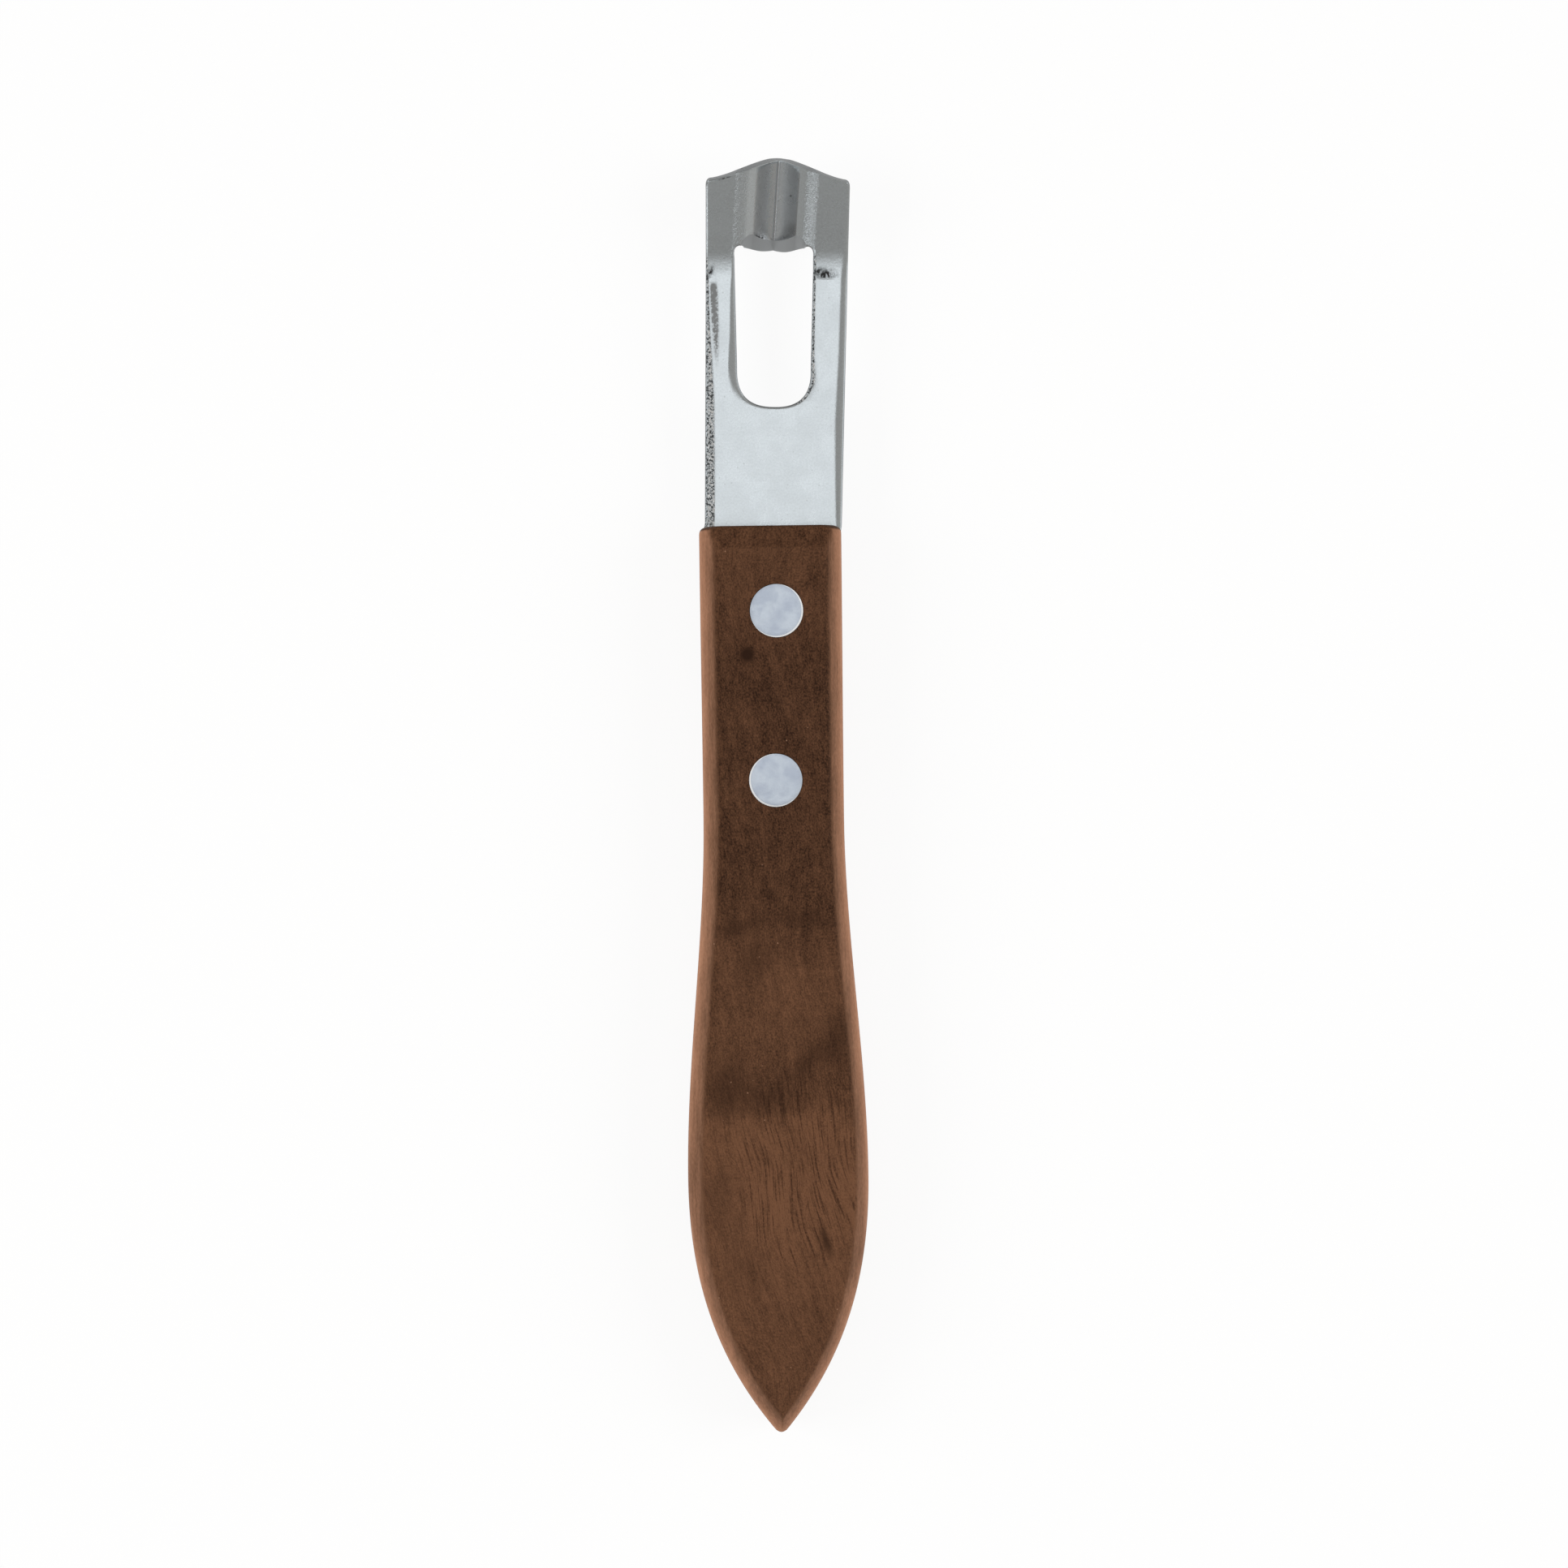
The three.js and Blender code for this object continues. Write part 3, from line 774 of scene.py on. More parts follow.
        # Painted side light, lighter on the left wall, and painted shade right along the root.
        side_light = offset.rise(*self.root_side, *self.wall_side_light)
        side_light = side_light * away.rise(*self.root_width, self.root_shade, 1.0)
        arch = away * away * self.arch_fall + along
        inside = away.rise(self.channel_brow + self.brow_blur, self.channel_brow)
        inside = inside * arch.rise(self.arch_top, self.arch_top - self.arch_blur)
        return nodes.mix(1.0, wall, side_light, "MULTIPLY"), inside

    def _grit_and_glints(self, offset: Signal, head: Signal, facing: Signal) -> Signal:
        """Find the gritty steel: the channel's shoulders, which also take painted shade, and edges behind the
        head that face left, which also take painted dark reflections and glints.

        Args:
            offset: How far right of the channel's root the surface is.
            head: 1 on the head.
            facing: How far the surface faces to the right.

        Returns:
            How gritty it is, which also weighs the painted shade, reflections and glints.
        """
        away = abs(offset)
        low, full, last, high = (self.channel_brow + past for past in self.head_band)
        band = away.rise(low, full, 0.0, self.head_grit_and_shade) * away.rise(high, last) * head
        edge = (1.0 - head) * self.edge_grit_and_glints * facing.rise(*self.edge_facing)
        return band.at_least(edge)


@dataclass(frozen=True)
class RivetMetal:
    """Rivet heads sanded flush with the wood: bluish white, satin and clouded, with a painted highlight
    crescent on each rim.
    """

    colour: Colour = (0.59, 0.66, 0.75)
    smudge: Colour = (0.43, 0.49, 0.60)
    smudge_share: float = 0.7
    # Painted highlight crescents on the heads' rims.
    rim_highlight: Colour = (0.96, 0.98, 1.0)
    highlight_centres: tuple[Range, ...] = ((0.56, 22.47), (0.42, 1.67))
    rim_radius: float = 3.15
    rim_blur: float = 0.06
    rim_reach: Range = (1.0, 0.8)
    pit_scale: float = 2.4
    cloud_scale: float = 0.6
    roughness: float = 0.3
    roughness_spread: float = 0.08
    pit_depth: float = 0.01

    def material(self, groups: SharedGroups) -> Material:
        """Make the finish.

        Args:
            groups: The shared effects.

        Returns:
            The material.
        """
        material, nodes, shader = Finish.start("rivet_metal", 1.0, 0.5)
        place, _ = nodes.millimetres()
        scales = {"Place": place, "Pit Scale": self.pit_scale, "Cloud Scale": self.cloud_scale}
        pits, clouds = groups.use(GroupKind.TUMBLED, nodes, scales)
        colour = nodes.mix(clouds * self.smudge_share, self.colour, self.smudge)
        # Painted highlight: a bright crescent at each head's edge, cut by a circle set a little off the
        # head's middle.
        outer, inner = (self.rim_radius + reach for reach in self.rim_reach)
        for centre in self.highlight_centres:
            offset = nodes.vector("SUBTRACT", place, (*centre, 0.0))
            away = nodes.vector("LENGTH", nodes.vector("MULTIPLY", offset, (1.0, 1.0, 0.0)))
            edge = away.rise(self.rim_radius, self.rim_radius + self.rim_blur) * away.rise(outer, inner)
            colour = nodes.mix(edge, colour, self.rim_highlight)
        rough = pits * self.roughness_spread + self.roughness
        Finish.dress(nodes, shader, colour, rough, pits, self.pit_depth)
        return material


@dataclass(frozen=True)
class OiledWalnut:
    """Dark oiled walnut, open pored, lighter on the chamfers and sides, where they were sanded last and where
    painted side light brightens them.
    """

    light: Colour = (0.16, 0.072, 0.036)
    dark: Colour = (0.022, 0.008, 0.003)
    # Paler sanded wood, with painted side light in it.
    sanded_pale_and_lit: Colour = (0.42, 0.208, 0.122)
    sanded_dark: Colour = (0.145, 0.069, 0.037)
    pore: Colour = (0.022, 0.009, 0.005)
    speck: Colour = (0.40, 0.22, 0.14)
    specular: float = 0.14
    roughness: float = 0.58
    pore_roughness: float = 0.2
    pore_depth: float = 0.05
    pore_share: float = 0.66
    sanded_pores: float = -0.85
    fibre_scale: Colour = (5.0, 0.5, 5.0)
    fibre_share: float = 0.35
    half_thickness: float = 6.0
    chamfer: float = 2.1
    ends: Range = (-78.5, 33.0)
    # The last steps paint a thin highlight line just behind the front bevel and darken the bevel itself.
    tones_and_front_highlight: tuple[Range, ...] = (
        (0.0, 0.58), (0.09, 0.6), (0.19, 0.75), (0.28, 0.87), (0.32, 0.85), (0.39, 0.455), (0.5, 0.54),
        (0.6, 0.3), (0.82, 0.3), (0.94, 0.45), (0.964, 0.47), (0.971, 0.54), (0.978, 0.41), (1.0, 0.41),
    )
    tone_layers: tuple[Layer, ...] = (
        ((0.16, 0.05, 0.16), 3.0, 0.35),
        ((0.7, 0.4, 0.7), 2.0, 0.5),
        ((1.2, 0.14, 1.2), 3.0, 0.4),
        ((3.6, 1.2, 3.6), 2.0, 0.7),
        ((6.0, 4.0, 6.0), 1.0, 1.1),
    )
    sanded_layers: tuple[Layer, ...] = (
        ((0.5, 0.12, 0.5), 2.0, 0.6),
        ((2.4, 0.2, 2.4), 3.0, 0.7),
        ((6.0, 2.0, 6.0), 2.0, 0.7),
    )
    sanded_curve: float = 1.4
    sanded_side: tuple[float, ...] = (1.05, 1.5, 0.95, 0.6)
    sanded_ragged: Colour = (4.0, 0.5, 4.0)
    sanded_swing: float = 0.14
    sanded_slope: Range = (0.04, 0.3)
    sanded_facing: Range = (0.55, 0.25)
    sanded_depth: Range = (0.0, 0.2)
    lean_start: float = 34.0
    lean: float = 0.14
    drift: float = 0.1
    wander_scale: float = 0.06
    wander: float = 6.0
    ragged_scale: Colour = (0.2, 0.12, 0.2)
    ragged: float = 5.0
    streaks: tuple[tuple[Colour, float, float, float], ...] = (
        ((3.6, 0.17, 3.6), 0.51, 0.68, 1.0),
        ((6.5, 0.5, 6.5), 0.58, 0.76, 0.7),
    )
    streak_break_scale: float = 3.0
    streak_break: tuple[float, ...] = (0.35, 0.55, 0.4, 1.0)
    figure: Spot = Spot((3.0, -46.0, 12.0), (12.0, 19.0, 60.0), 1.0)
    figure_range: Range = (0.0, 0.45)
    figure_ends: tuple[float, ...] = (-34.0, -42.0, 0.12, 0.4)
    speck_share: float = 0.55
    speck_scale: float = 0.6
    speck_rarity: Range = (0.5, 0.9)
    speck_size: Range = (0.075, 0.03)
    marks: tuple[Spot, ...] = (
        Spot((-2.98, 17.05, 12.0), (1.8, 1.9, 5.0), 0.6),
        Spot((-2.98, 17.05, 12.0), (1.15, 1.2, 5.0), 1.7),
        Spot((5.75, -54.9, 12.0), (0.85, 3.7, 5.0), 0.75, -17.0),
    )
    blotches: tuple[Spot, ...] = (
        Spot((-4.5, -16.3, 12.0), (5.0, 2.0, 20.0), 0.5),
        Spot((4.0, -15.6, 12.0), (6.5, 1.6, 20.0), 0.35, -4.0),
        Spot((-2.5, -21.5, 12.0), (3.0, 4.0, 20.0), 0.4),
        Spot((7.8, -30.3, 12.0), (3.6, 5.4, 20.0), 0.45),
        Spot((4.2, -33.4, 12.0), (5.4, 2.3, 20.0), 0.5, -41.0),
        Spot((-6.2, -35.6, 12.0), (5.0, 5.0, 20.0), 0.45),
        Spot((-2.5, -37.8, 12.0), (9.0, 3.2, 20.0), 0.4),
        Spot((-7.2, -50.0, 12.0), (4.6, 6.5, 20.0), 0.3),
        Spot((-4.5, -58.5, 12.0), (5.5, 5.5, 20.0), 0.2),
        Spot((0.8, -52.0, 12.0), (6.0, 6.5, 20.0), -0.22),
        Spot((5.0, -40.2, 12.0), (4.0, 3.0, 20.0), -0.2),
        Spot((-2.4, -30.2, 12.0), (5.5, 5.0, 20.0), -0.16),
        Spot((1.5, -24.0, 12.0), (7.0, 5.0, 20.0), -0.1),
    )
    dull: tuple[Spot, ...] = (
        Spot((-11.0, -48.0, 6.0), (9.0, 11.0, 40.0), 0.6),
        Spot((10.0, -57.0, 6.0), (9.0, 9.0, 40.0), 0.5),
    )

    def material(self, groups: SharedGroups) -> Material:
        """Make the finish.

        Args:
            groups: The shared effects.

        Returns:
            The material.
        """
        material, nodes, shader = Finish.start("oiled_walnut", 0.0, self.specular)
        place, normal = nodes.millimetres()
        along, up = nodes.split(place)[1:]
        past = (along + self.lean_start).at_most(0.0)
        wander = (nodes.noise(place, self.wander_scale, 1.0) - HALF) * self.wander
        grain = nodes.vector("ADD", place, nodes.join(along * self.drift + past * self.lean + wander))
        below = self.half_thickness - abs(up - self.half_thickness)
        depth = (below * (1.0 / self.chamfer)).at_least(0.0)
        # The chamfers and sides are paler partly as sanded wood and partly as painted side light, palest at
        # the chamfers' outer edges.
        sanded_and_lit = self._sanded_and_lit(nodes, grain, normal, depth)
        face = nodes.mix(self._tone(nodes, groups, place, grain), self.dark, self.light)
        pale = self._sanded_and_lit_tone(nodes, groups, place, depth)
        colour = nodes.mix(sanded_and_lit, face, nodes.mix(pale, self.sanded_dark, self.sanded_pale_and_lit))
        pores = self._pores(nodes, groups, place, grain) * (sanded_and_lit * self.sanded_pores + 1.0)
        colour = nodes.mix(pores * self.pore_share, colour, self.pore)
        distance, tint = nodes.cells(place, self.speck_scale)
        specks = nodes.split(tint)[1].rise(*self.speck_rarity) * distance.rise(*self.speck_size)
        colour = nodes.mix(specks * self.speck_share, colour, self.speck)
        rough = pores * self.pore_roughness + self.roughness
        height = nodes.noise(grain, self.fibre_scale) * self.fibre_share - pores
        Finish.dress(nodes, shader, colour, rough, height, self.pore_depth)
        return material

    def _tone(self, nodes: Nodes, groups: SharedGroups, place: Signal, grain: Signal) -> Signal:
        """How light the wood is: steps along its length, with a painted highlight line just behind the front
        bevel and a darker bevel, noise, ragged blotches and a knot.

        Args:
            nodes: The material's nodes.
            groups: The shared effects.
            place: Where the surface is.
            grain: The same along the grain.

        Returns:
            0 for the darkest wood to 1 for the lightest.
        """
        low, high = self.ends
        inputs = {"Value": nodes.split(place)[1], "From Min": low, "From Max": high}
        ramp = nodes.add("ShaderNodeValToRGB", {"Fac": nodes.get("ShaderNodeMapRange", "Result", inputs)})
        ramp.color_ramp.interpolation = "EASE"
        stops = ramp.color_ramp.elements
        while len(stops) < len(self.tones_and_front_highlight):
            stops.new(HALF)
        for stop, (position, level) in zip(stops, self.tones_and_front_highlight):
            stop.position = position
            stop.color = (level, level, level, 1.0)
        tone = self._swing(nodes, Signal(nodes, ramp.outputs["Color"]), grain, self.tone_layers)
        shift = (nodes.noise(place, self.ragged_scale) - HALF) * self.ragged
        wavy = nodes.vector("ADD", place, nodes.join(0.0, shift))
        tone = self._darken(nodes, groups, tone, self.blotches, wavy)
        return self._darken(nodes, groups, tone, self.marks, place).at_least(0.0)

    @staticmethod
    def _darken(
        nodes: Nodes, groups: SharedGroups, tone: Signal, spots: Sequence[Spot], place: Signal
    ) -> Signal:
        """Darken a tone inside some spots, or lighten it where their strength is negative.

        Args:
            nodes: The material's nodes.
            groups: The shared effects.
            tone: The tone so far.
            spots: The spots.
            place: Where the surface is.

        Returns:
            The darker tone.
        """
        for spot in spots:
            tone = tone * (1.0 - spot.mask(nodes, groups, place))
        return tone

    @staticmethod
    def _swing(nodes: Nodes, tone: Signal, place: Signal, layers: Sequence[Layer]) -> Signal:
        """Let a tone swing by several layers of noise.

        Args:
            nodes: The material's nodes.
            tone: The steady tone.
            place: Where the surface is.
            layers: How each noise is stretched, its detail and how far it swings.

        Returns:
            The tone with its swing.
        """
        for stretch, detail, amount in layers:
            tone = tone + (nodes.noise(place, stretch, detail) - HALF) * amount
        return tone

    def _sanded_and_lit_tone(self, nodes: Nodes, groups: SharedGroups, place: Signal, depth: Signal) -> Signal:
        """How light the sanded wood is, with its painted side light: palest at the chamfer's outer edge, dull
        beside the belly.

        Args:
            nodes: The material's nodes.
            groups: The shared effects.
            place: Where the surface is.
            depth: How far down the chamfer it is, 1 at the outer edge and more on the side.

        Returns:
            0 for the darkest sanded wood to 1 for the palest.
        """
        tone = nodes.math("POWER", depth.at_most(1.0), self.sanded_curve) * depth.rise(*self.sanded_side)
        tone = self._darken(nodes, groups, tone, self.dull, place)
        return self._swing(nodes, tone, place, self.sanded_layers).at_least(0.0)

    def _sanded_and_lit(self, nodes: Nodes, grain: Signal, normal: Signal, depth: Signal) -> Signal:
        """Find the chamfers and sides, but not the faces or the front end: wood that is sanded paler and also
        painted lighter as if lit from the sides.

        Args:
            nodes: The material's nodes.
            grain: Where the surface is, along the grain.
            normal: Which way the surface faces.
            depth: How far down the chamfer it is.

        Returns:
            1 on the sanded wood that carries painted side light.
        """
        forward, up = nodes.split(normal)[1:]
        swing = (nodes.noise(grain, self.sanded_ragged) - HALF) * self.sanded_swing
        side = (swing + (1.0 - abs(up))).rise(*self.sanded_slope) * forward.rise(*self.sanded_facing)
        return side * depth.rise(*self.sanded_depth)

    def _pores(self, nodes: Nodes, groups: SharedGroups, place: Signal, grain: Signal) -> Signal:
        """Dark streaks of pores along the grain, plainest between the belly and the tip.

        Args:
            nodes: The material's nodes.
            groups: The shared effects.
            place: Where the surface is.
            grain: The same along the grain.

        Returns:
            1 in the middle of a pore.
        """
        long, short = (
            nodes.noise(grain, stretch).rise(low, high, 0.0, depth)
            for stretch, low, high, depth in self.streaks
        )
        broken = nodes.noise(place, self.streak_break_scale).rise(*self.streak_break)
        figure = self.figure.mask(nodes, groups, place).rise(*self.figure_range)
        zone = figure.at_least(nodes.split(place)[1].rise(*self.figure_ends))
        return long.at_least(short) * broken * zone


@dataclass(frozen=True)
class PaleFloor:
    """A white surface that shows plain white behind the knife and still takes its shadow."""

    colour: Colour = (0.93, 0.93, 0.93)
    glow_share: float = 0.9

    def material(self) -> Material:
        """Make the finish.

        Returns:
            The material.
        """
        material = bpy.data.materials.new("pale_floor")
        material.use_nodes = True
        nodes = Nodes(material.node_tree)
        paint = nodes.add("ShaderNodeBsdfDiffuse", {"Color": (*self.colour, 1.0)})
        glow = nodes.add("ShaderNodeEmission")
        path = nodes.add("ShaderNodeLightPath").outputs
        seen = Signal(nodes, path["Is Camera Ray"]).at_least(path["Is Glossy Ray"])
        seen = seen.at_least(path["Is Transmission Ray"]) * self.glow_share
        blend = nodes.add("ShaderNodeMixShader", {0: seen, 1: paint.outputs[0], 2: glow.outputs[0]})
        nodes.add("ShaderNodeOutputMaterial", {"Surface": blend.outputs[0]})
        return material


@dataclass
class RivetPlace:
    """Where one rivet goes through the handle."""

    name: str
    back: float
    offset: float


@dataclass
class WalnutHandle:
    """One piece of walnut: a slotted grip that narrows to a waist, swells and ends in a point."""

    length: float = 111.4
    thickness: float = 12.0
    front_width: float = 17.5
    front_corner: float = 1.0
    waist_width: float = 17.3
    waist_back: float = 36.0
    belly_width: float = 22.2
    belly_back: float = 80.0
    tip_width: float = 1.0
    tip_angle: float = math.radians(40.0)
    tip_curve: float = 12.0
    curve_steps: tuple[int, int, int] = (14, 24, 40)
    chamfer: float = 2.1
    left_chamfers: Colour = (2.1, 2.1, 1.85)
    right_chamfers: Colour = (1.85, 1.6, 1.5)
    front_chamfer: float = 2.75
    front_rise: float = 0.6
    front_stations: tuple[float, ...] = (
        0.45, 0.6, 0.8, 1.0, 1.4, 1.8, 2.2, 2.5, 2.65, 2.75, 2.85, 3.0,
    )
    body_start: float = 3.3
    ridge: float = 0.1
    ease: float = 0.75
    ease_flat: float = 0.15
    ease_limits: Range = (0.4, 0.46)
    end_ease: float = 0.35
    end_steps: int = 5
    slot_length: float = 44.5
    slot_height: float = 1.7
    head_hole: float = 3.32
    sleeve_hole: float = 2.36
    head_seat: float = 4.7
    hole_sides: int = 96
    corner_steps: int = 5
    smooth_angle: float = 30.0
    rivets: list[RivetPlace] = field(default_factory=list)

    def outline(self) -> np.ndarray:
        """The side of the handle seen from its face.

        Returns:
            Rows of distance back and half width, from the front end to the tip.
        """
        widths = (self.front_width, self.waist_width, self.belly_width, self.tip_width)
        front, waist, belly, tip = (HALF * width for width in widths)
        at_waist, at_belly = (self.waist_back, waist), (self.belly_back, belly)
        first, third = self.waist_back / 3.0, (self.belly_back - self.waist_back) / 3.0
        run, climb = (self.tip_curve * part(self.tip_angle) for part in (math.cos, math.sin))
        handles = (
            ((0.0, front), (first, front), (2.0 * first, waist), at_waist),
            (at_waist, (self.waist_back + third, waist), (self.belly_back - third, belly), at_belly),
            (
                at_belly, (self.belly_back + self.tip_curve, belly),
                (self.length - run, tip + climb), (self.length, tip),
            ),
        )
        curves = [bezier(points, count) for points, count in zip(handles, self.curve_steps)]
        return np.vstack([curves[0], curves[1][1:], curves[2][1:]])

    def half_width(self, back: Numbers) -> Numbers:
        """The handle's half width at a distance behind its front end."""
        return np.interp(back, *self.outline().T)

    def _section(self, back: float, inset: float) -> np.ndarray:
        """One cross-section: eight flats with eased corners.

        Args:
            back: How far it is behind the front end.
            inset: How far it is drawn in all round, at the handle's two ends.

        Returns:
            Its points, in order.
        """
        step = 0.05
        half = float(self.half_width(back))
        slope = (float(self.half_width(back + step)) - float(self.half_width(back - step))) / (2 * step)
        if back < self.front_corner:
            gone = 1.0 - back / self.front_corner
            half -= self.front_corner * (1.0 - math.sqrt(max(0.0, 1.0 - gone * gone)))
        stretch = math.sqrt(1.0 + slope * slope) if back > self.front_corner else 1.0
        stations = (0.0, self.belly_back, self.length)
        left, right = (
            stretch * float(np.interp(back, stations, widths))
            for widths in (self.left_chamfers, self.right_chamfers)
        )
        front = self.front_rise + (1.0 - self.front_rise) * back / self.front_chamfer
        rise = min(1.0, front, 2.0 * (half - self.ridge) / (left + right))
        side = HALF * self.thickness - self.chamfer
        face = side + self.chamfer * rise
        face_left, face_right = left * rise - half, half - right * rise
        upper = np.array([(half, side), (face_right, face), (face_left, face), (-half, side)])
        corners = np.vstack([(half, -side), upper, upper[:0:-1] * (1.0, -1.0)])
        points = self._eased(corners * (1.0 - inset / np.abs(corners).max(axis=0)))
        return np.column_stack([points[:, 0], np.full(len(points), -back), points[:, 1]])

    def _eased(self, corners: np.ndarray) -> np.ndarray:
        """Round the corners of a cross-section.

        Args:
            corners: Its sharp corners, in order.

        Returns:
            Seven points for each corner: a short flat, the round and another short flat.
        """
        points = []
        most, flat_most = self.ease_limits
        for index, corner in enumerate(corners):
            ends = []
            for other in (corners[index - 1], corners[(index + 1) % len(corners)]):
                way = other - corner
                span = float(np.linalg.norm(way))
                start = min(self.ease, most * span)
                flat = min(start + self.ease_flat, flat_most * span)
                ends.append((corner + way / span * start, corner + way / span * flat))
            (start, flat_before), (stop, flat_after) = ends
            points.extend([flat_before, *bezier((start, corner, stop), self.corner_steps - 1), flat_after])
        return np.array(points)

    def _stations(self) -> list[Range]:
        """Where the cross-sections are.

        Returns:
            Pairs of distance back and how far the section is drawn in there.
        """
        turns = np.linspace(0.0, HALF * math.pi, self.end_steps)
        ease = self.end_ease
        eased = [(ease * (1.0 - math.cos(turn)), ease * (1.0 - math.sin(turn))) for turn in turns]
        body = [back for back in self.outline()[:, 0] if self.body_start < back < self.length - ease]
        plain = [(back, 0.0) for back in (*self.front_stations, *body)]
        return eased + plain + [(self.length - inset, back) for back, inset in eased[1:]]

    def build(self, material: Material) -> Object:
        """Draw the handle out ring by ring from its front end, then slot and drill it.

        Args:
            material: Its finish.

        Returns:
            The finished piece.
        """
        sections = [self._section(back, inset) for back, inset in self._stations()]
        grip = Bench.ring(sections[0])
        for section in sections[1:]:
            bpy.ops.mesh.extrude_region_move()
            Bench.place_last(grip, section)
        bpy.ops.mesh.edge_face_add()
        Bench.pick(grip, "EDGE", lambda edge: all(abs(vert.co.y) < 1e-6 for vert in edge.verts))
        bpy.ops.mesh.edge_face_add()
        Bench.seal()
        bpy.ops.object.select_all(action="DESELECT")
        bpy.ops.mesh.primitive_cube_add(size=1.0)
        saw = bpy.context.active_object
        saw.dimensions = (2.0 * self.belly_width, 2.0 * self.slot_length, self.slot_height)
        bpy.ops.object.transform_apply(location=False, rotation=False, scale=True)
        Bench.cut(grip, saw)
        for rivet in self.rivets:
            Bench.cut(grip, self._drill(rivet))
        grip.name = "walnut_handle"
        Bench.settle(grip)
        return Bench.finish(grip, "handle", "walnut", material, self.smooth_angle)

    def _drill(self, rivet: RivetPlace) -> Object:
        """The stepped drill that makes one rivet's hole from both faces.

        Args:
            rivet: Where the hole is.

        Returns:
            The drill's shape.
        """
        centre = (rivet.offset, -rivet.back, 0.0)
        drill = Bench.rod(self.hole_sides, self.sleeve_hole, 2.0 * self.head_seat, centre)
        Bench.open(drill)
        wider = self.head_hole / self.sleeve_hole
        end = self.head_seat - 1e-3
        for side in SIDES:
            Bench.pick(drill, "FACE", lambda face: side * face.calc_center_median().z > end)
            bpy.ops.mesh.extrude_region_move()
            bpy.ops.transform.resize(value=(wider, wider, 1.0), center_override=centre)
            Bench.draw_out((0.0, 0.0, side * self.thickness))
        Bench.close()
        return drill


class RivetHalf(Enum):
    """The two halves of a cutler's rivet."""

    STUD = "stud"
    SLEEVE = "sleeve"


@dataclass
class CutlersRivet:
    """A two-part rivet whose heads are sanded flush with the handle's faces."""

    place: RivetPlace
    head_radius: float = 3.3
    head_thickness: float = 1.2
    head_edge: float = 0.06
    edge_steps: int = 4
    crown: float = 0.03
    crown_rings: tuple[float, ...] = (2.6, 1.9, 1.2, 0.5)
    sleeve_radius: float = 2.3
    stud_radius: float = 1.6
    bore_radius: float = 1.66
    top: float = 5.96
    stud_end: float = -4.16
    sleeve_rim: float = 4.26
    sides: int = 96
    smooth_angle: float = 35.0

    def build(self, material: Material) -> None:
        """Make both halves."""
        for half in RivetHalf:
            self._half(half, material)

    def _half(self, half: RivetHalf, material: Material) -> Object:
        """Turn one half: a crowned head, and a stud or a sleeve behind it.

        Args:
            half: Which half it is.
            material: Its finish.

        Returns:
            The finished piece.
        """
        out = 1.0 if half is RivetHalf.STUD else -1.0
        seat = out * (self.top - self.head_thickness)
        middle = (0.0, 0.0, out * (self.top - HALF * self.head_thickness))
        rivet = Bench.rod(self.sides, self.head_radius, self.head_thickness, middle)
        Bench.open(rivet)
        edge = self.top - 1e-4
        Bench.pick(rivet, "EDGE", lambda part: all(out * vert.co.z > edge for vert in part.verts))
        bpy.ops.mesh.bevel(offset=self.head_edge, segments=self.edge_steps, profile=0.5, affect="EDGES")
        self._crown(rivet, out)
        Bench.pick(rivet, "FACE", lambda face: out * face.normal.z < -FLAT)
        steps = [(self.head_radius - self.stud_radius, self.stud_end - seat)]
        if half is RivetHalf.SLEEVE:
            steps = [
                (self.head_radius - self.sleeve_radius, self.sleeve_rim - seat),
                (self.sleeve_radius - self.bore_radius, seat - self.sleeve_rim),
            ]
        for inset, travel in steps:
            bpy.ops.mesh.inset(thickness=inset, depth=0.0)
            Bench.draw_out((0.0, 0.0, travel))
        Bench.seal()
        node = f"{self.place.name}_{half.value}"
        rivet.name = f"{node}_turned"
        Bench.settle(rivet, (self.place.offset, -self.place.back, 0.0))
        return Bench.finish(rivet, node, "rivet_metal", material, self.smooth_angle)

    def _crown(self, rivet: Object, out: float) -> None:
        """Leave the head's face very slightly domed.

        Args:
            rivet: The rivet in edit mode.
            out: The side that the head faces.
        """
        Bench.pick(rivet, "FACE", lambda face: out * face.normal.z > FLAT and len(face.verts) > 4)
        edge = self.head_radius - self.head_edge
        for outer, inner in zip((edge, *self.crown_rings), self.crown_rings):
            bpy.ops.mesh.inset(thickness=outer - inner, depth=0.0)
        for vert in Bench.mesh(rivet).verts:
            away = math.hypot(vert.co.x, vert.co.y)
            if out * vert.co.z > self.top - 1e-4 and away < edge - 1e-3:
                vert.co.z += out * self.crown * (1.0 - (away / edge) ** 2)
        bmesh.update_edit_mesh(rivet.data)


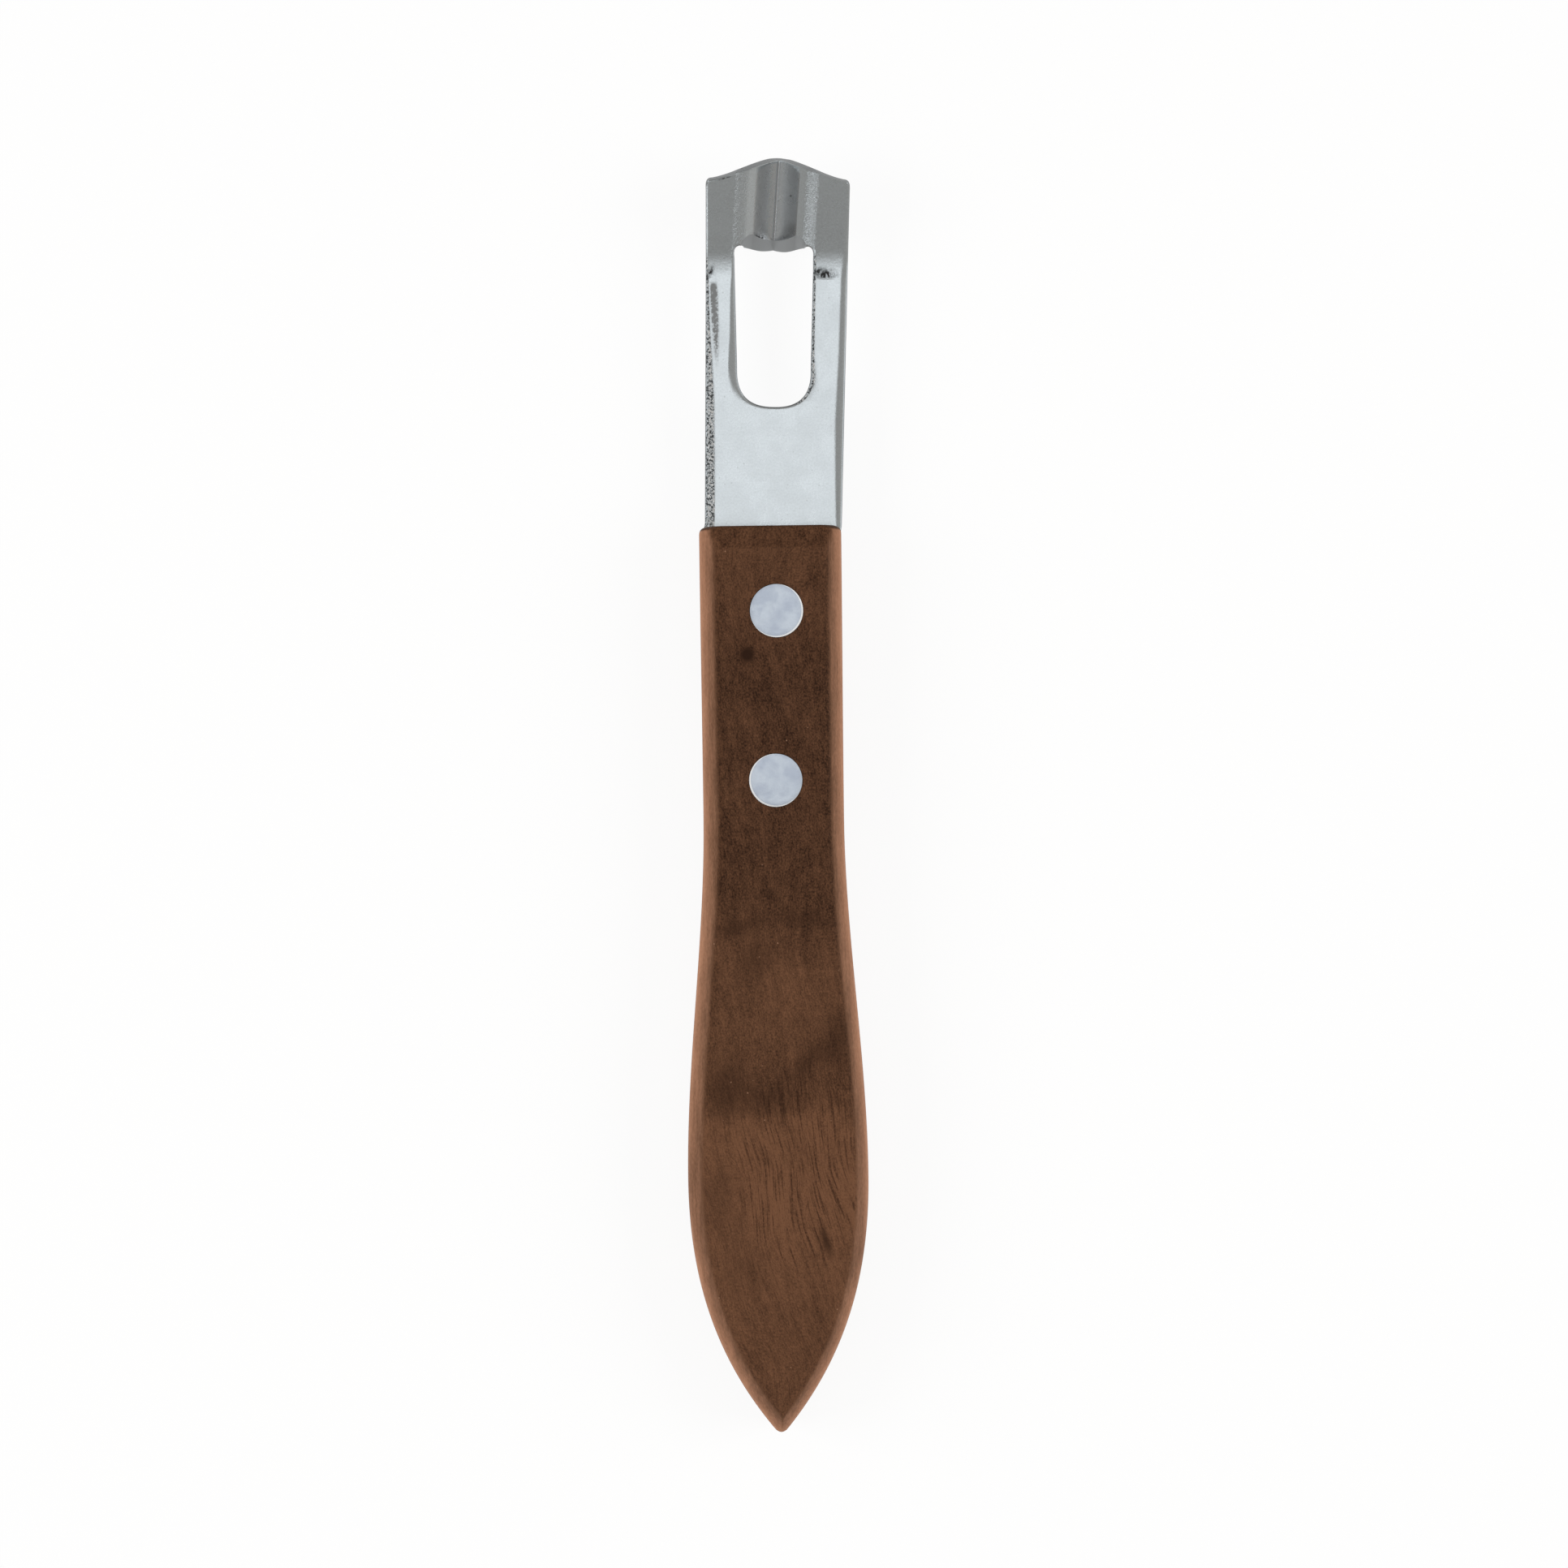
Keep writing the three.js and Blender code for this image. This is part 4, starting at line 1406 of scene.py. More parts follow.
@dataclass
class PressedBlade:
    """One stamped and pressed strip: tang, shank, arms round the peel window and channelled head."""

    handle: WalnutHandle
    thickness: float = 1.5
    reach: float = 45.6
    root_width: float = 16.9
    head_width: float = 17.8
    lean: float = math.radians(1.5)
    offset: float = 0.4
    corner_reach: float = 42.8
    corner_radius: float = 0.8
    corner_steps: int = 6
    edge_step: float = 0.4
    edge_start: float = 0.2
    end_pulls: Colour = (2.0, 4.6, 0.7)
    end_curve: int = 60
    end_steps: int = 42
    end_set_back: float = 1.35
    end_blend: float = 0.5
    end_crown: tuple[float, ...] = (-0.6, -0.38, -0.26, -0.12, 0.0, 0.12, 0.26, 0.38, 0.6)
    window_start: float = 14.8
    window_end: float = 34.5
    window_root: float = 4.3
    window_corner: float = 1.0
    window_steps: tuple[int, int, int] = (24, 8, 24)
    window_line: Colour = (-0.2, 0.014, 20.0)
    window_places: Colour = (14.8, 20.0, 32.0)
    window_halves: Colour = (4.5, 4.56, 4.85)
    tongue: float = 0.95
    tongue_start: float = 0.4
    edge_bulges: Range = (0.24, 0.32)
    edge_bulge_place: float = 1.55
    edge_half: float = 3.85
    edge_notch: float = 0.2
    notch_curve: float = 1.6
    bend_start: float = 30.4
    bend_skew: float = 0.036
    bend_radius: float = 11.0
    bend_angle: float = math.radians(20.0)
    channel_lean: float = 0.053
    channel_place: Range = (-0.45, 34.9)
    channel_run_in: Range = (33.0, 33.3)
    channel_half: float = 5.13
    wall_angle: float = math.radians(43.0)
    brow_angle: float = math.radians(34.0)
    brow: float = 2.65
    brow_round: float = 0.2
    shoulder_radius: float = 3.0
    root_radius: float = 0.18
    grind_root: float = 1.1
    grind_brow: float = 1.65
    grind_curves: Range = (1.3, 1.7)
    grind_reach: float = 4.7
    grind_overlap: float = 0.04
    grind_run_out: float = 0.4
    grind_steps: int = 48
    grind_pitch: float = math.radians(55.0)
    grind_height: float = 8.0
    trim_steps: int = 65
    cutter_depth: float = 12.0
    crease_angle: float = math.radians(12.0)
    tang_length: float = 44.0
    tang_corner: float = 3.0
    tang_recess: float = 0.2
    tang_step: float = 2.0
    tang_arris: float = 0.2
    end_arrises: Colour = (0.1, 0.05, 0.25)
    end_arris_split: float = -3.0
    end_zone: Range = (0.3, 3.0)
    side_arris: tuple[Range, Range] = ((30.0, 33.0), (0.3, 0.16))
    lower_arris: float = 0.3
    window_arrises: Range = (0.3, 0.25)
    cutting_zone: Range = (1.5, 4.0)
    left_wear: Wear = (
        (0.0, 15.0, 20.0, 24.0, 28.0, 32.0), (1.3, 1.15, 0.9, 0.6, 0.45, 0.4),
        (0.5, 0.44, 0.34, 0.2, 0.12, 0.05),
    )
    right_wear: Wear = (
        (0.0, 6.0, 13.0, 21.0, 31.0, 34.0, 42.0), (0.75, 1.0, 1.2, 0.95, 0.85, 0.7, 0.5),
        (0.28, 0.37, 0.44, 0.36, 0.3, 0.14, 0.05),
    )
    window_left_wear: Wear = (
        (14.8, 15.6, 17.0, 19.5, 24.0, 29.0, 32.0), (0.2, 0.5, 0.95, 1.2, 0.85, 0.65, 0.4),
        (0.02, 0.12, 0.3, 0.42, 0.3, 0.22, 0.06),
    )
    window_right_wear: Wear = (
        (14.8, 15.6, 18.0, 22.0, 32.0), (0.2, 0.4, 0.7, 0.45, 0.4), (0.02, 0.1, 0.22, 0.1, 0.06),
    )
    roll_knee: float = 0.2
    press_step: tuple[float, ...] = (30.62, 30.8, 30.8, 32.2)
    press_right: tuple[float, ...] = (4.5, 5.2, 6.6, 7.6)
    press_left: Range = (7.4, 8.1)
    press_left_inner: Range = (4.8, 5.6)
    press_left_share: float = 0.3
    press_depth: float = 0.05
    crease_places: tuple[Colour, Colour] = ((21.8, 28.9, 30.4), (-7.15, -7.58, -7.78))
    crease_ends: tuple[float, ...] = (20.8, 24.5, 30.4, 31.0)
    crease_half: float = 0.5
    crease_depth: float = 0.04
    rivet_hole: float = 2.36
    hole_sides: int = 64
    rings: tuple[float, ...] = (0.06, 0.09, 0.13, 0.17)
    edge_scores: tuple[float, ...] = (0.65, 0.85, 1.05, 1.3, 1.5, 1.7, 1.9, 2.1, 2.3, 2.55, 2.8)
    window_scores: tuple[float, ...] = (5.4, 5.65, 5.9)
    window_score_place: Range = (-0.3, 30.0)
    channel_scores: tuple[float, ...] = (
        0.0, 0.04, 0.08, 0.122, 0.25, 0.45, 0.8, 1.2, 1.6, 2.0, 2.45, 2.55, 2.65, 2.75, 2.85, 3.15,
    )
    shoulder_scores: Colour = (3.45, 5.2, 0.16)
    score_rows: tuple[Colour, ...] = ((0.5, 30.0, 0.75), (30.2, 34.0, 0.14), (34.5, 45.0, 0.7))
    smooth_angle: float = 28.0

    def build(self, material: Material) -> Object:
        """Stamp, press, grind and drill the blade.

        Args:
            material: Its finish.

        Returns:
            The finished piece.
        """
        outer, window = self._outer_loop(), self._window_loop()
        blade = self._stamp(outer, window)
        self._score(blade)
        Bench.modify(blade, "SOLIDIFY", thickness=self.thickness, offset=-1.0)
        self._press(blade, outer, window)
        for side in SIDES:
            Bench.cut(blade, self._stone(side))
        Bench.cut(blade, self._trimmer())
        cosine, sine = math.cos(self.lean), math.sin(self.lean)
        for rivet in self.handle.rivets:
            x, y = rivet.offset - self.offset, -rivet.back
            centre = (x * cosine - y * sine, x * sine + y * cosine, 0.0)
            Bench.cut(blade, Bench.rod(self.hole_sides, self.rivet_hole, self.cutter_depth, centre))
        self._sharpen(blade)
        blade.name = "pressed_blade"
        Bench.settle(blade, (self.offset, 0.0, 0.0), -self.lean)
        return Bench.finish(blade, "blade", "stainless", material, self.smooth_angle)

    def _half_width(self, forward: Numbers) -> Numbers:
        """The blade's half width at a distance in front of the handle."""
        return HALF * (self.root_width + (self.head_width - self.root_width) * forward / self.reach)

    def _outer_loop(self) -> np.ndarray:
        """The stamped outline and how its edge is worn.

        Returns:
            Rows of x, y, upper and lower arris radius, width of the roll and its fall.
        """
        end = self._head_end()
        middle = len(end) // 2
        corner = float(end[0, 1])
        half = float(self._half_width(corner))
        low = corner - self.corner_radius
        handles = ((half - self.corner_radius, corner), (half, corner), (half, low))
        turn = bezier(handles, self.corner_steps)
        forward = np.arange(low - self.edge_step, self.edge_start, -self.edge_step)
        edge = np.vstack([turn[1:], np.column_stack([self._half_width(forward), forward])])
        left = np.vstack([end[middle::-1], edge * (-1.0, 1.0), self._tang_side(-1.0)])
        right = np.vstack([end[middle:], edge, self._tang_side(1.0)])
        return self._worn(np.vstack([left, right[:0:-1]]), self._outer_wear)

    def _head_end(self) -> np.ndarray:
        """The upper edge of the head's end, set back so that its lower edge follows the peaked outline.

        Returns:
            Its points from left to right.
        """
        half = float(self._half_width(self.corner_reach)) - self.corner_radius
        pull, shoulder, lift = self.end_pulls
        peak = ((0.0, self.reach), (pull, self.reach))
        corner = ((shoulder, self.corner_reach + lift), (half, self.corner_reach))
        right = bezier((*peak, *corner), self.end_curve)
        outline = np.vstack([right[:0:-1] * (-1.0, 1.0), right])
        root = float(self._channel_axis(self.reach))
        near, count = self.end_blend, self.end_steps
        x = np.concatenate([np.linspace(-half, root - near, count), np.linspace(root + near, half, count)])
        normal = self._normal(x, np.interp(x, *outline.T))
        under = x - self.end_set_back * normal[:, 0]
        y = np.interp(under, *outline.T) + self.end_set_back * normal[:, 1]
        share = np.array(self.end_crown)
        before, after = y[count - 1], y[count]
        tilt = np.diff(y) / np.diff(x)
        slope = HALF * (tilt[count - 2] - tilt[count])
        crown = HALF * (before + after) + HALF * near * slope * (1.0 - share**2)
        crown += HALF * (after - before) * share
        x = np.concatenate([x[:count], root + near * share, x[count:]])
        return np.column_stack([x, np.concatenate([y[:count], crown, y[count:]])])

    def _tang_side(self, side: float) -> np.ndarray:
        """One side of the tang, which follows the handle's side.

        Args:
            side: -1 for the left, 1 for the right.

        Returns:
            Its points from the handle's front end to the tang's end.
        """
        last = self.tang_length - self.tang_corner
        back = np.append(np.arange(self.tang_step, last, self.tang_step), last)
        half = self.handle.half_width(back) - self.tang_recess
        line = np.column_stack([side * half, -back])
        x, low = line[-1, 0], -self.tang_length
        corner = bezier((line[-1], (x, low), (x - side * self.tang_corner, low)), self.corner_steps)
        cosine, sine = math.cos(self.lean), math.sin(self.lean)
        line = np.vstack([line, corner[1:]]) - (self.offset, 0.0)
        return line @ np.array([[cosine, sine], [-sine, cosine]])

    def _window_centre(self, forward: Numbers) -> Numbers:
        """The peel window's own middle line, which leans a little to the left."""
        start, lean, place = self.window_line
        return start - lean * (forward - place)

    def _window_half(self, forward: Numbers) -> Numbers:
        """Half the peel window's width, a little more towards the head."""
        return np.interp(forward, self.window_places, self.window_halves)

    def _window_loop(self) -> np.ndarray:
        """The peel window and how its edge is worn. Its front end is the cutting edge.

        Returns:
            Rows as in the outer loop.
        """
        start, end, corner = self.window_start, self.window_end, self.window_corner
        root = start + self.window_root
        half, full, wide = (float(self._window_half(place)) for place in (start, root, end))
        root_steps, corner_steps, edge_steps = self.window_steps
        shape = bezier(((half - self.window_root, start), (half, start), (half, root)), root_steps)
        shape = np.vstack([(0.0, start), shape])
        shape[:, 0] *= np.interp(shape[:, 1], (start, root), (1.0, full / half))
        forward = np.arange(root + self.edge_step, end - corner, self.edge_step)
        straight = np.column_stack([self._window_half(forward), forward])
        turn = bezier(((wide, end - corner), (wide, end), (wide - corner, end)), corner_steps)
        share = np.linspace(1.0, 0.0, edge_steps + 1)[1:]
        back = self.tongue * (1.0 - smoothstep(share, self.tongue_start, 1.0))
        right = np.vstack([shape, straight, turn, np.column_stack([share * (wide - corner), end - back])])
        left = right * (-1.0, 1.0)
        loop = np.vstack([right, left[-2:0:-1]])
        loop[:, 0] += self._window_centre(loop[:, 1])
        return self._worn(loop, self._window_wear)

    @staticmethod
    def _worn(loop: np.ndarray, wear: Callable[[float, float], Sequence[float]]) -> np.ndarray:
        """Add to each point of an outline how its edge is worn there."""
        return np.array([(x, y, *wear(x, y)) for x, y in loop])

    def _outer_wear(self, x: float, y: float) -> EdgeWear:
        """How the outer edge is worn at a point.

        Args:
            x: Across the blade.
            y: Along it.

        Returns:
            Upper and lower arris radius, width of the roll and its fall.
        """
        if y < 0.0:
            return self.tang_arris, self.tang_arris, 0.0, 0.0
        inside, behind = self.end_zone
        if abs(x) < self._half_width(y) - inside and y > self.corner_reach - behind:
            left, right, lower = self.end_arrises
            return (left if x < self.end_arris_split else right), lower, 0.0, 0.0
        places, rolls, falls = self.left_wear if x < 0.0 else self.right_wear
        arris = float(np.interp(y, *self.side_arris))
        return arris, self.lower_arris, float(np.interp(y, places, rolls)), float(np.interp(y, places, falls))

    def _window_wear(self, x: float, y: float) -> EdgeWear:
        """How the window's edge is worn at a point.

        Args:
            x: Across the blade.
            y: Along it.

        Returns:
            Upper and lower arris radius, width of the roll and its fall.
        """
        across = x - float(self._window_centre(y))
        behind, half = self.cutting_zone
        if y > self.window_end - behind and abs(across) < half:
            return 0.0, 0.0, 0.0, 0.0
        places, rolls, falls = self.window_left_wear if across < 0.0 else self.window_right_wear
        return (*self.window_arrises, float(np.interp(y, places, rolls)), float(np.interp(y, places, falls)))

    def _stamp(self, outer: np.ndarray, window: np.ndarray) -> Object:
        """The flat blank, with rings of faces along its edges.

        Args:
            outer: The outer loop.
            window: The window's loop.

        Returns:
            The blank, one face thick.
        """
        blank = Bench.ring(np.pad(outer[:, :2], ((0, 0), (0, 1))))
        bpy.ops.mesh.primitive_circle_add(vertices=len(window), radius=1.0)
        Bench.place_last(blank, np.pad(window[:, :2], ((0, 0), (0, 1))))
        bpy.ops.mesh.select_all(action="SELECT")
        bpy.ops.mesh.fill(use_beauty=True)
        Bench.pick(blank, "EDGE", lambda edge: len(edge.link_faces) == 2)
        bpy.ops.mesh.mark_seam(clear=False)
        bpy.ops.mesh.select_mode(type="FACE")
        bpy.ops.mesh.select_all(action="SELECT")
        bpy.ops.mesh.normals_make_consistent(inside=False)
        if any(face.normal.z < 0.0 for face in Bench.mesh(blank).faces):
            bpy.ops.mesh.flip_normals()
        for ring in self.rings:
            bpy.ops.mesh.inset(thickness=ring, depth=0.0, use_even_offset=True)
        bpy.ops.mesh.select_all(action="INVERT")
        bpy.ops.mesh.hide(unselected=False)
        Bench.close()
        return blank

    def _channel_axis(self, forward: Numbers) -> Numbers:
        """The middle line of the channel, which crosses the head a little askew."""
        x, y = self.channel_place
        return x + self.channel_lean * (forward - y)

    def _lines(self) -> list[tuple[Range, Range]]:
        """The lines that the blank is scored along before it is pressed.

        Returns:
            Pairs of a point on the line and the direction across it.
        """
        lines = []
        taper = math.atan2(HALF * (self.head_width - self.root_width), self.reach)
        window_x, window_y = self.window_score_place
        for side in SIDES:
            across = (math.cos(taper), -side * math.sin(taper))
            for inset in self.edge_scores:
                lines.append(((side * (HALF * self.root_width - inset), 0.0), across))
            for outset in self.window_scores:
                lines.append(((side * outset + window_x, window_y), (1.0, self.window_line[1])))
        axis = math.atan(self.channel_lean)
        x, y = self.channel_place
        for amount in (*self.channel_scores, *np.arange(*self.shoulder_scores)):
            for side in SIDES if amount else (1.0,):
                lines.append(((side * float(amount) + x, y), (math.cos(axis), -math.sin(axis))))
        rows = np.concatenate([np.arange(*limits) for limits in self.score_rows])
        return lines + [((0.0, float(row)), (0.0, 1.0)) for row in rows]

    def _score(self, blank: Object) -> None:
        """Cut the blank's inner faces along the score lines.

        Args:
            blank: The flat blank.
        """
        Bench.open(blank)
        for (x, y), (across, along) in self._lines():
            bpy.ops.mesh.select_all(action="SELECT")
            bpy.ops.mesh.bisect(plane_co=(x, y, 0.0), plane_no=(across, along, 0.0), threshold=1e-5)
        bpy.ops.mesh.reveal(select=False)
        Bench.pick(blank, "EDGE", lambda edge: edge.seam)
        bpy.ops.mesh.dissolve_edges(use_verts=True)
        Bench.close()

    def _bend(self, forward: np.ndarray) -> tuple[np.ndarray, np.ndarray]:
        """How the head bends up towards the user.

        Args:
            forward: Distances in front of the handle.

        Returns:
            The rise and the slope's angle at each.
        """
        run = np.maximum(forward - self.bend_start, 0.0)
        arc = self.bend_radius * math.sin(self.bend_angle)
        near = np.minimum(run, arc)
        rise = self.bend_radius - np.sqrt(self.bend_radius**2 - near**2)
        rise += np.maximum(run - arc, 0.0) * math.tan(self.bend_angle)
        return rise, np.arcsin(near / self.bend_radius)

    def _channel(self, across: np.ndarray) -> np.ndarray:
        """How deep the channel is at a distance from its middle line.

        Args:
            across: Distances from the middle line.

        Returns:
            The depths.
        """
        away = np.abs(across)
        steep, gentle = math.tan(self.wall_angle), math.tan(self.brow_angle)
        corner = self.channel_half - self.shoulder_radius * math.tan(HALF * self.brow_angle)
        brow_depth = (corner - self.brow) * gentle
        wall = np.where(away < self.brow, brow_depth + (self.brow - away) * steep, (corner - away) * gentle)
        near = np.maximum(self.brow_round - np.abs(away - self.brow), 0.0)
        wall += (steep - gentle) * near**2 / (4.0 * self.brow_round)
        middle = brow_depth + self.brow * steep - self.root_radius / math.cos(self.wall_angle)
        root = middle + np.sqrt(np.maximum(self.root_radius**2 - away**2, 0.0))
        turn = self.shoulder_radius * math.sin(self.brow_angle)
        inward = np.clip(self.channel_half - away, 0.0, turn)
        shoulder = self.shoulder_radius - np.sqrt(self.shoulder_radius**2 - inward**2)
        depth = np.where(away > self.channel_half - turn, shoulder, wall)
        return np.where(away < self.root_radius * math.sin(self.wall_angle), root, depth)

    def _height(self, x: np.ndarray, y: np.ndarray) -> np.ndarray:
        """The height of the pressed sheet's upper face above the middle plane of the tang.

        Args:
            x: Across the blade.
            y: Along it.

        Returns:
            The heights.
        """
        rise, tilt = self._bend(y - self.bend_skew * x)
        depth = self._channel(x - self._channel_axis(y)) * smoothstep(y, *self.channel_run_in)
        return HALF * self.thickness + rise - depth / np.cos(tilt)

    def _normal(self, x: np.ndarray, y: np.ndarray) -> np.ndarray:
        """Which way the pressed sheet's upper face looks.

        Args:
            x: Across the blade.
            y: Along it.

        Returns:
            Rows of unit normals.
        """
        step = 1e-3
        slope_x = (self._height(x + step, y) - self._height(x - step, y)) / (2.0 * step)
        slope_y = (self._height(x, y + step) - self._height(x, y - step)) / (2.0 * step)
        normal = np.column_stack([-slope_x, -slope_y, np.ones(len(x))])
        return normal / np.linalg.norm(normal, axis=1)[:, None]

    def _dents(self, x: np.ndarray, y: np.ndarray) -> np.ndarray:
        """Marks that the press left in the arms' upper faces.

        Args:
            x: Across the blade.
            y: Along it.

        Returns:
            How deep each point is dented.
        """
        left = smoothstep(-x, *self.press_left)
        left = left + self.press_left_share * smoothstep(-x, *self.press_left_inner)
        step = plateau(y, *self.press_step) * np.maximum(plateau(x, *self.press_right), left)
        off = np.abs(x - np.interp(y, *self.crease_places))
        crease = np.maximum(1.0 - off / self.crease_half, 0.0) * plateau(y, *self.crease_ends)
        return self.press_depth * step + self.crease_depth * smoothstep(crease, 0.0, 1.0)

    @staticmethod
    def _nearest(points: np.ndarray, loop: np.ndarray) -> tuple[np.ndarray, np.ndarray]:
        """How far points are from an outline, and how its edge is worn there.

        Args:
            points: The points.
            loop: The outline with its wear.

        Returns:
            The distances, and rows of wear.
        """
        start, end = loop, np.roll(loop, -1, axis=0)
        way = end[:, :2] - start[:, :2]
        span = np.maximum((way**2).sum(axis=1), 1e-12)
        gaps, wear = [], []
        for point in points:
            share = np.clip(((point - start[:, :2]) * way).sum(axis=1) / span, 0.0, 1.0)
            gap = np.hypot(*(start[:, :2] + way * share[:, None] - point).T)
            best = int(gap.argmin())
            gaps.append(gap[best])
            wear.append(start[best, 2:] + (end[best, 2:] - start[best, 2:]) * share[best])
        return np.array(gaps), np.array(wear)

    @staticmethod
    def _arris(gap: np.ndarray, radius: np.ndarray) -> np.ndarray:
        """How far a rounded arris falls away at a distance from the edge."""
        short = np.maximum(radius - gap, 0.0)
        return radius - np.sqrt(np.maximum(radius**2 - short**2, 0.0))

    def _press(self, blade: Object, outer: np.ndarray, window: np.ndarray) -> None:
        """Press the flat blank into shape and wear its edges.

        Args:
            blade: The blank with its thickness.
            outer: The outer loop.
            window: The window's loop.
        """
        verts = blade.data.vertices
        flat = np.empty(len(verts) * 3)
        verts.foreach_get("co", flat)
        flat = flat.reshape(-1, 3)
        x, y = flat[:, 0], flat[:, 1]
        upper = flat[:, 2] > -HALF * self.thickness
        gap, wear = self._nearest(flat[:, :2], outer)
        inner_gap, inner_wear = self._nearest(flat[:, :2], window)
        closer = inner_gap < gap
        gap = np.where(closer, inner_gap, gap)
        wear = np.where(closer[:, None], inner_wear, wear)
        share = np.maximum(1.0 - gap / np.maximum(wear[:, 2], 1e-6), 0.0)
        fall = self._arris(gap, wear[:, 0]) + self._dents(x, y)
        fall += wear[:, 3] * (1.0 + self.roll_knee) * share**2 / (share + self.roll_knee)
        depth = np.where(upper, fall, self.thickness - self._arris(gap, wear[:, 1]))
        pressed = np.column_stack([x, y, self._height(x, y)]) - self._normal(x, y) * depth[:, None]
        verts.foreach_set("co", pressed.ravel())
        blade.data.update()

    def _edge(self, across: np.ndarray) -> np.ndarray:
        """Where the cutting edge runs: two bulges that meet in a notch at the channel's root.

        Args:
            across: Distances from the channel's middle line.

        Returns:
            How far in front of the handle the edge is.
        """
        away = np.abs(across)
        outer = 1.0 - smoothstep(away, self.edge_bulge_place, self.edge_half)
        rest = np.maximum(1.0 - away / self.edge_bulge_place, 0.0)
        shape = outer - (1.0 - self.edge_notch) * rest**self.notch_curve
        return self.window_end - np.where(across < 0.0, *self.edge_bulges) * shape

    @staticmethod
    def _prism(loop: np.ndarray, travel: Sequence[float]) -> Object:
        """A closed solid drawn out from a flat outline.

        Args:
            loop: The outline's points, in order.
            travel: How far and which way it is drawn.

        Returns:
            The solid.
        """
        prism = Bench.ring(loop, "NGON")
        Bench.draw_out(travel)
        Bench.seal()
        return prism

    def _stone(self, side: float) -> Object:
        """The stone that grinds one wall of the channel down to its cutting edge.

        Args:
            side: -1 for the left wall, 1 for the right.

        Returns:
            The stone's shape.
        """
        across = np.linspace(-self.grind_overlap, self.grind_reach, self.grind_steps)
        inner_curve, outer_curve = self.grind_curves
        share = np.maximum(across, 0.0) / self.brow
        inner = self.grind_root + (self.grind_brow - self.grind_root) * share**inner_curve
        past = np.maximum(across - self.brow, 0.0) / (self.edge_half + self.grind_run_out - self.brow)
        width = np.where(past > 0.0, self.grind_brow * (1.0 - past**outer_curve), inner)
        top = self._edge(side * across) + width
        x = side * across + self._channel_axis(top)
        base = self.window_end - 2.0 * self.tongue
        drop = math.tan(self.grind_pitch)
        z = self._height(x, top) + (base - top) * drop
        bottom = np.column_stack([x + (base - top) * self.channel_lean, np.full(len(x), base), z])
        ceiling = bottom[[-1, 0]]
        ceiling[:, 2] = self.grind_height
        length = 5.0 * self.tongue
        return self._prism(np.vstack([bottom, ceiling]), (length * self.channel_lean, length, length * drop))

    def _trimmer(self) -> Object:
        """The punch that trims the tongue to the outline of the cutting edge.

        Returns:
            The punch's shape.
        """
        across = np.linspace(-self.edge_half, self.edge_half, self.trim_steps)
        x = across + float(self._channel_axis(self.window_end))
        low = self.window_end - 2.0 * self.tongue
        loop = np.vstack([np.column_stack([x, self._edge(across)]), [(x[-1], low), (x[0], low)]])
        loop = np.pad(loop, ((0, 0), (0, 1)), constant_values=-HALF * self.cutter_depth)
        return self._prism(loop, (0.0, 0.0, self.cutter_depth))

    def _sharpen(self, blade: Object) -> None:
        """Keep the creases round the ground facets crisp.

        Args:
            blade: The ground blade.
        """
        low, high = self.window_end - self.tongue, self.window_end + self.grind_brow + self.tongue

        def crease(edge: bmesh.types.BMEdge) -> bool:
            """Tell whether an edge is one of those creases.

            Args:
                edge: The edge.

            Returns:
                Whether it runs across the channel and turns sharply.
            """
            first, last = (vert.co for vert in edge.verts)
            if not all(low < place.y < high and abs(place.x) < self.channel_half for place in (first, last)):
                return False
            across = abs(first.x - last.x) > HALF * abs(first.y - last.y)
            return across and edge.calc_face_angle(0.0) > self.crease_angle

        Bench.open(blade)
        Bench.pick(blade, "EDGE", crease)
        bpy.ops.mesh.mark_sharp()
        Bench.close()


@dataclass
class Lamp:
    """One soft area lamp that points at the knife."""

    name: str
    place: Colour
    size: Range
    level: float
    seen_in_metal: bool = True

    def hang(self) -> None:
        """Put the lamp up."""
        data = bpy.data.lights.new(self.name, "AREA")
        data.shape = "RECTANGLE"
        data.size, data.size_y = self.size
        data.energy = math.pi * self.size[0] * self.size[1] * self.level
        lamp = bpy.data.objects.new(self.name, data)
        lamp.location = self.place
        lamp.rotation_euler = (-Vector(self.place)).to_track_quat("-Z", "Y").to_euler()
        lamp.visible_glossy = self.seen_in_metal
        lamp.visible_camera = False
        bpy.context.scene.collection.objects.link(lamp)


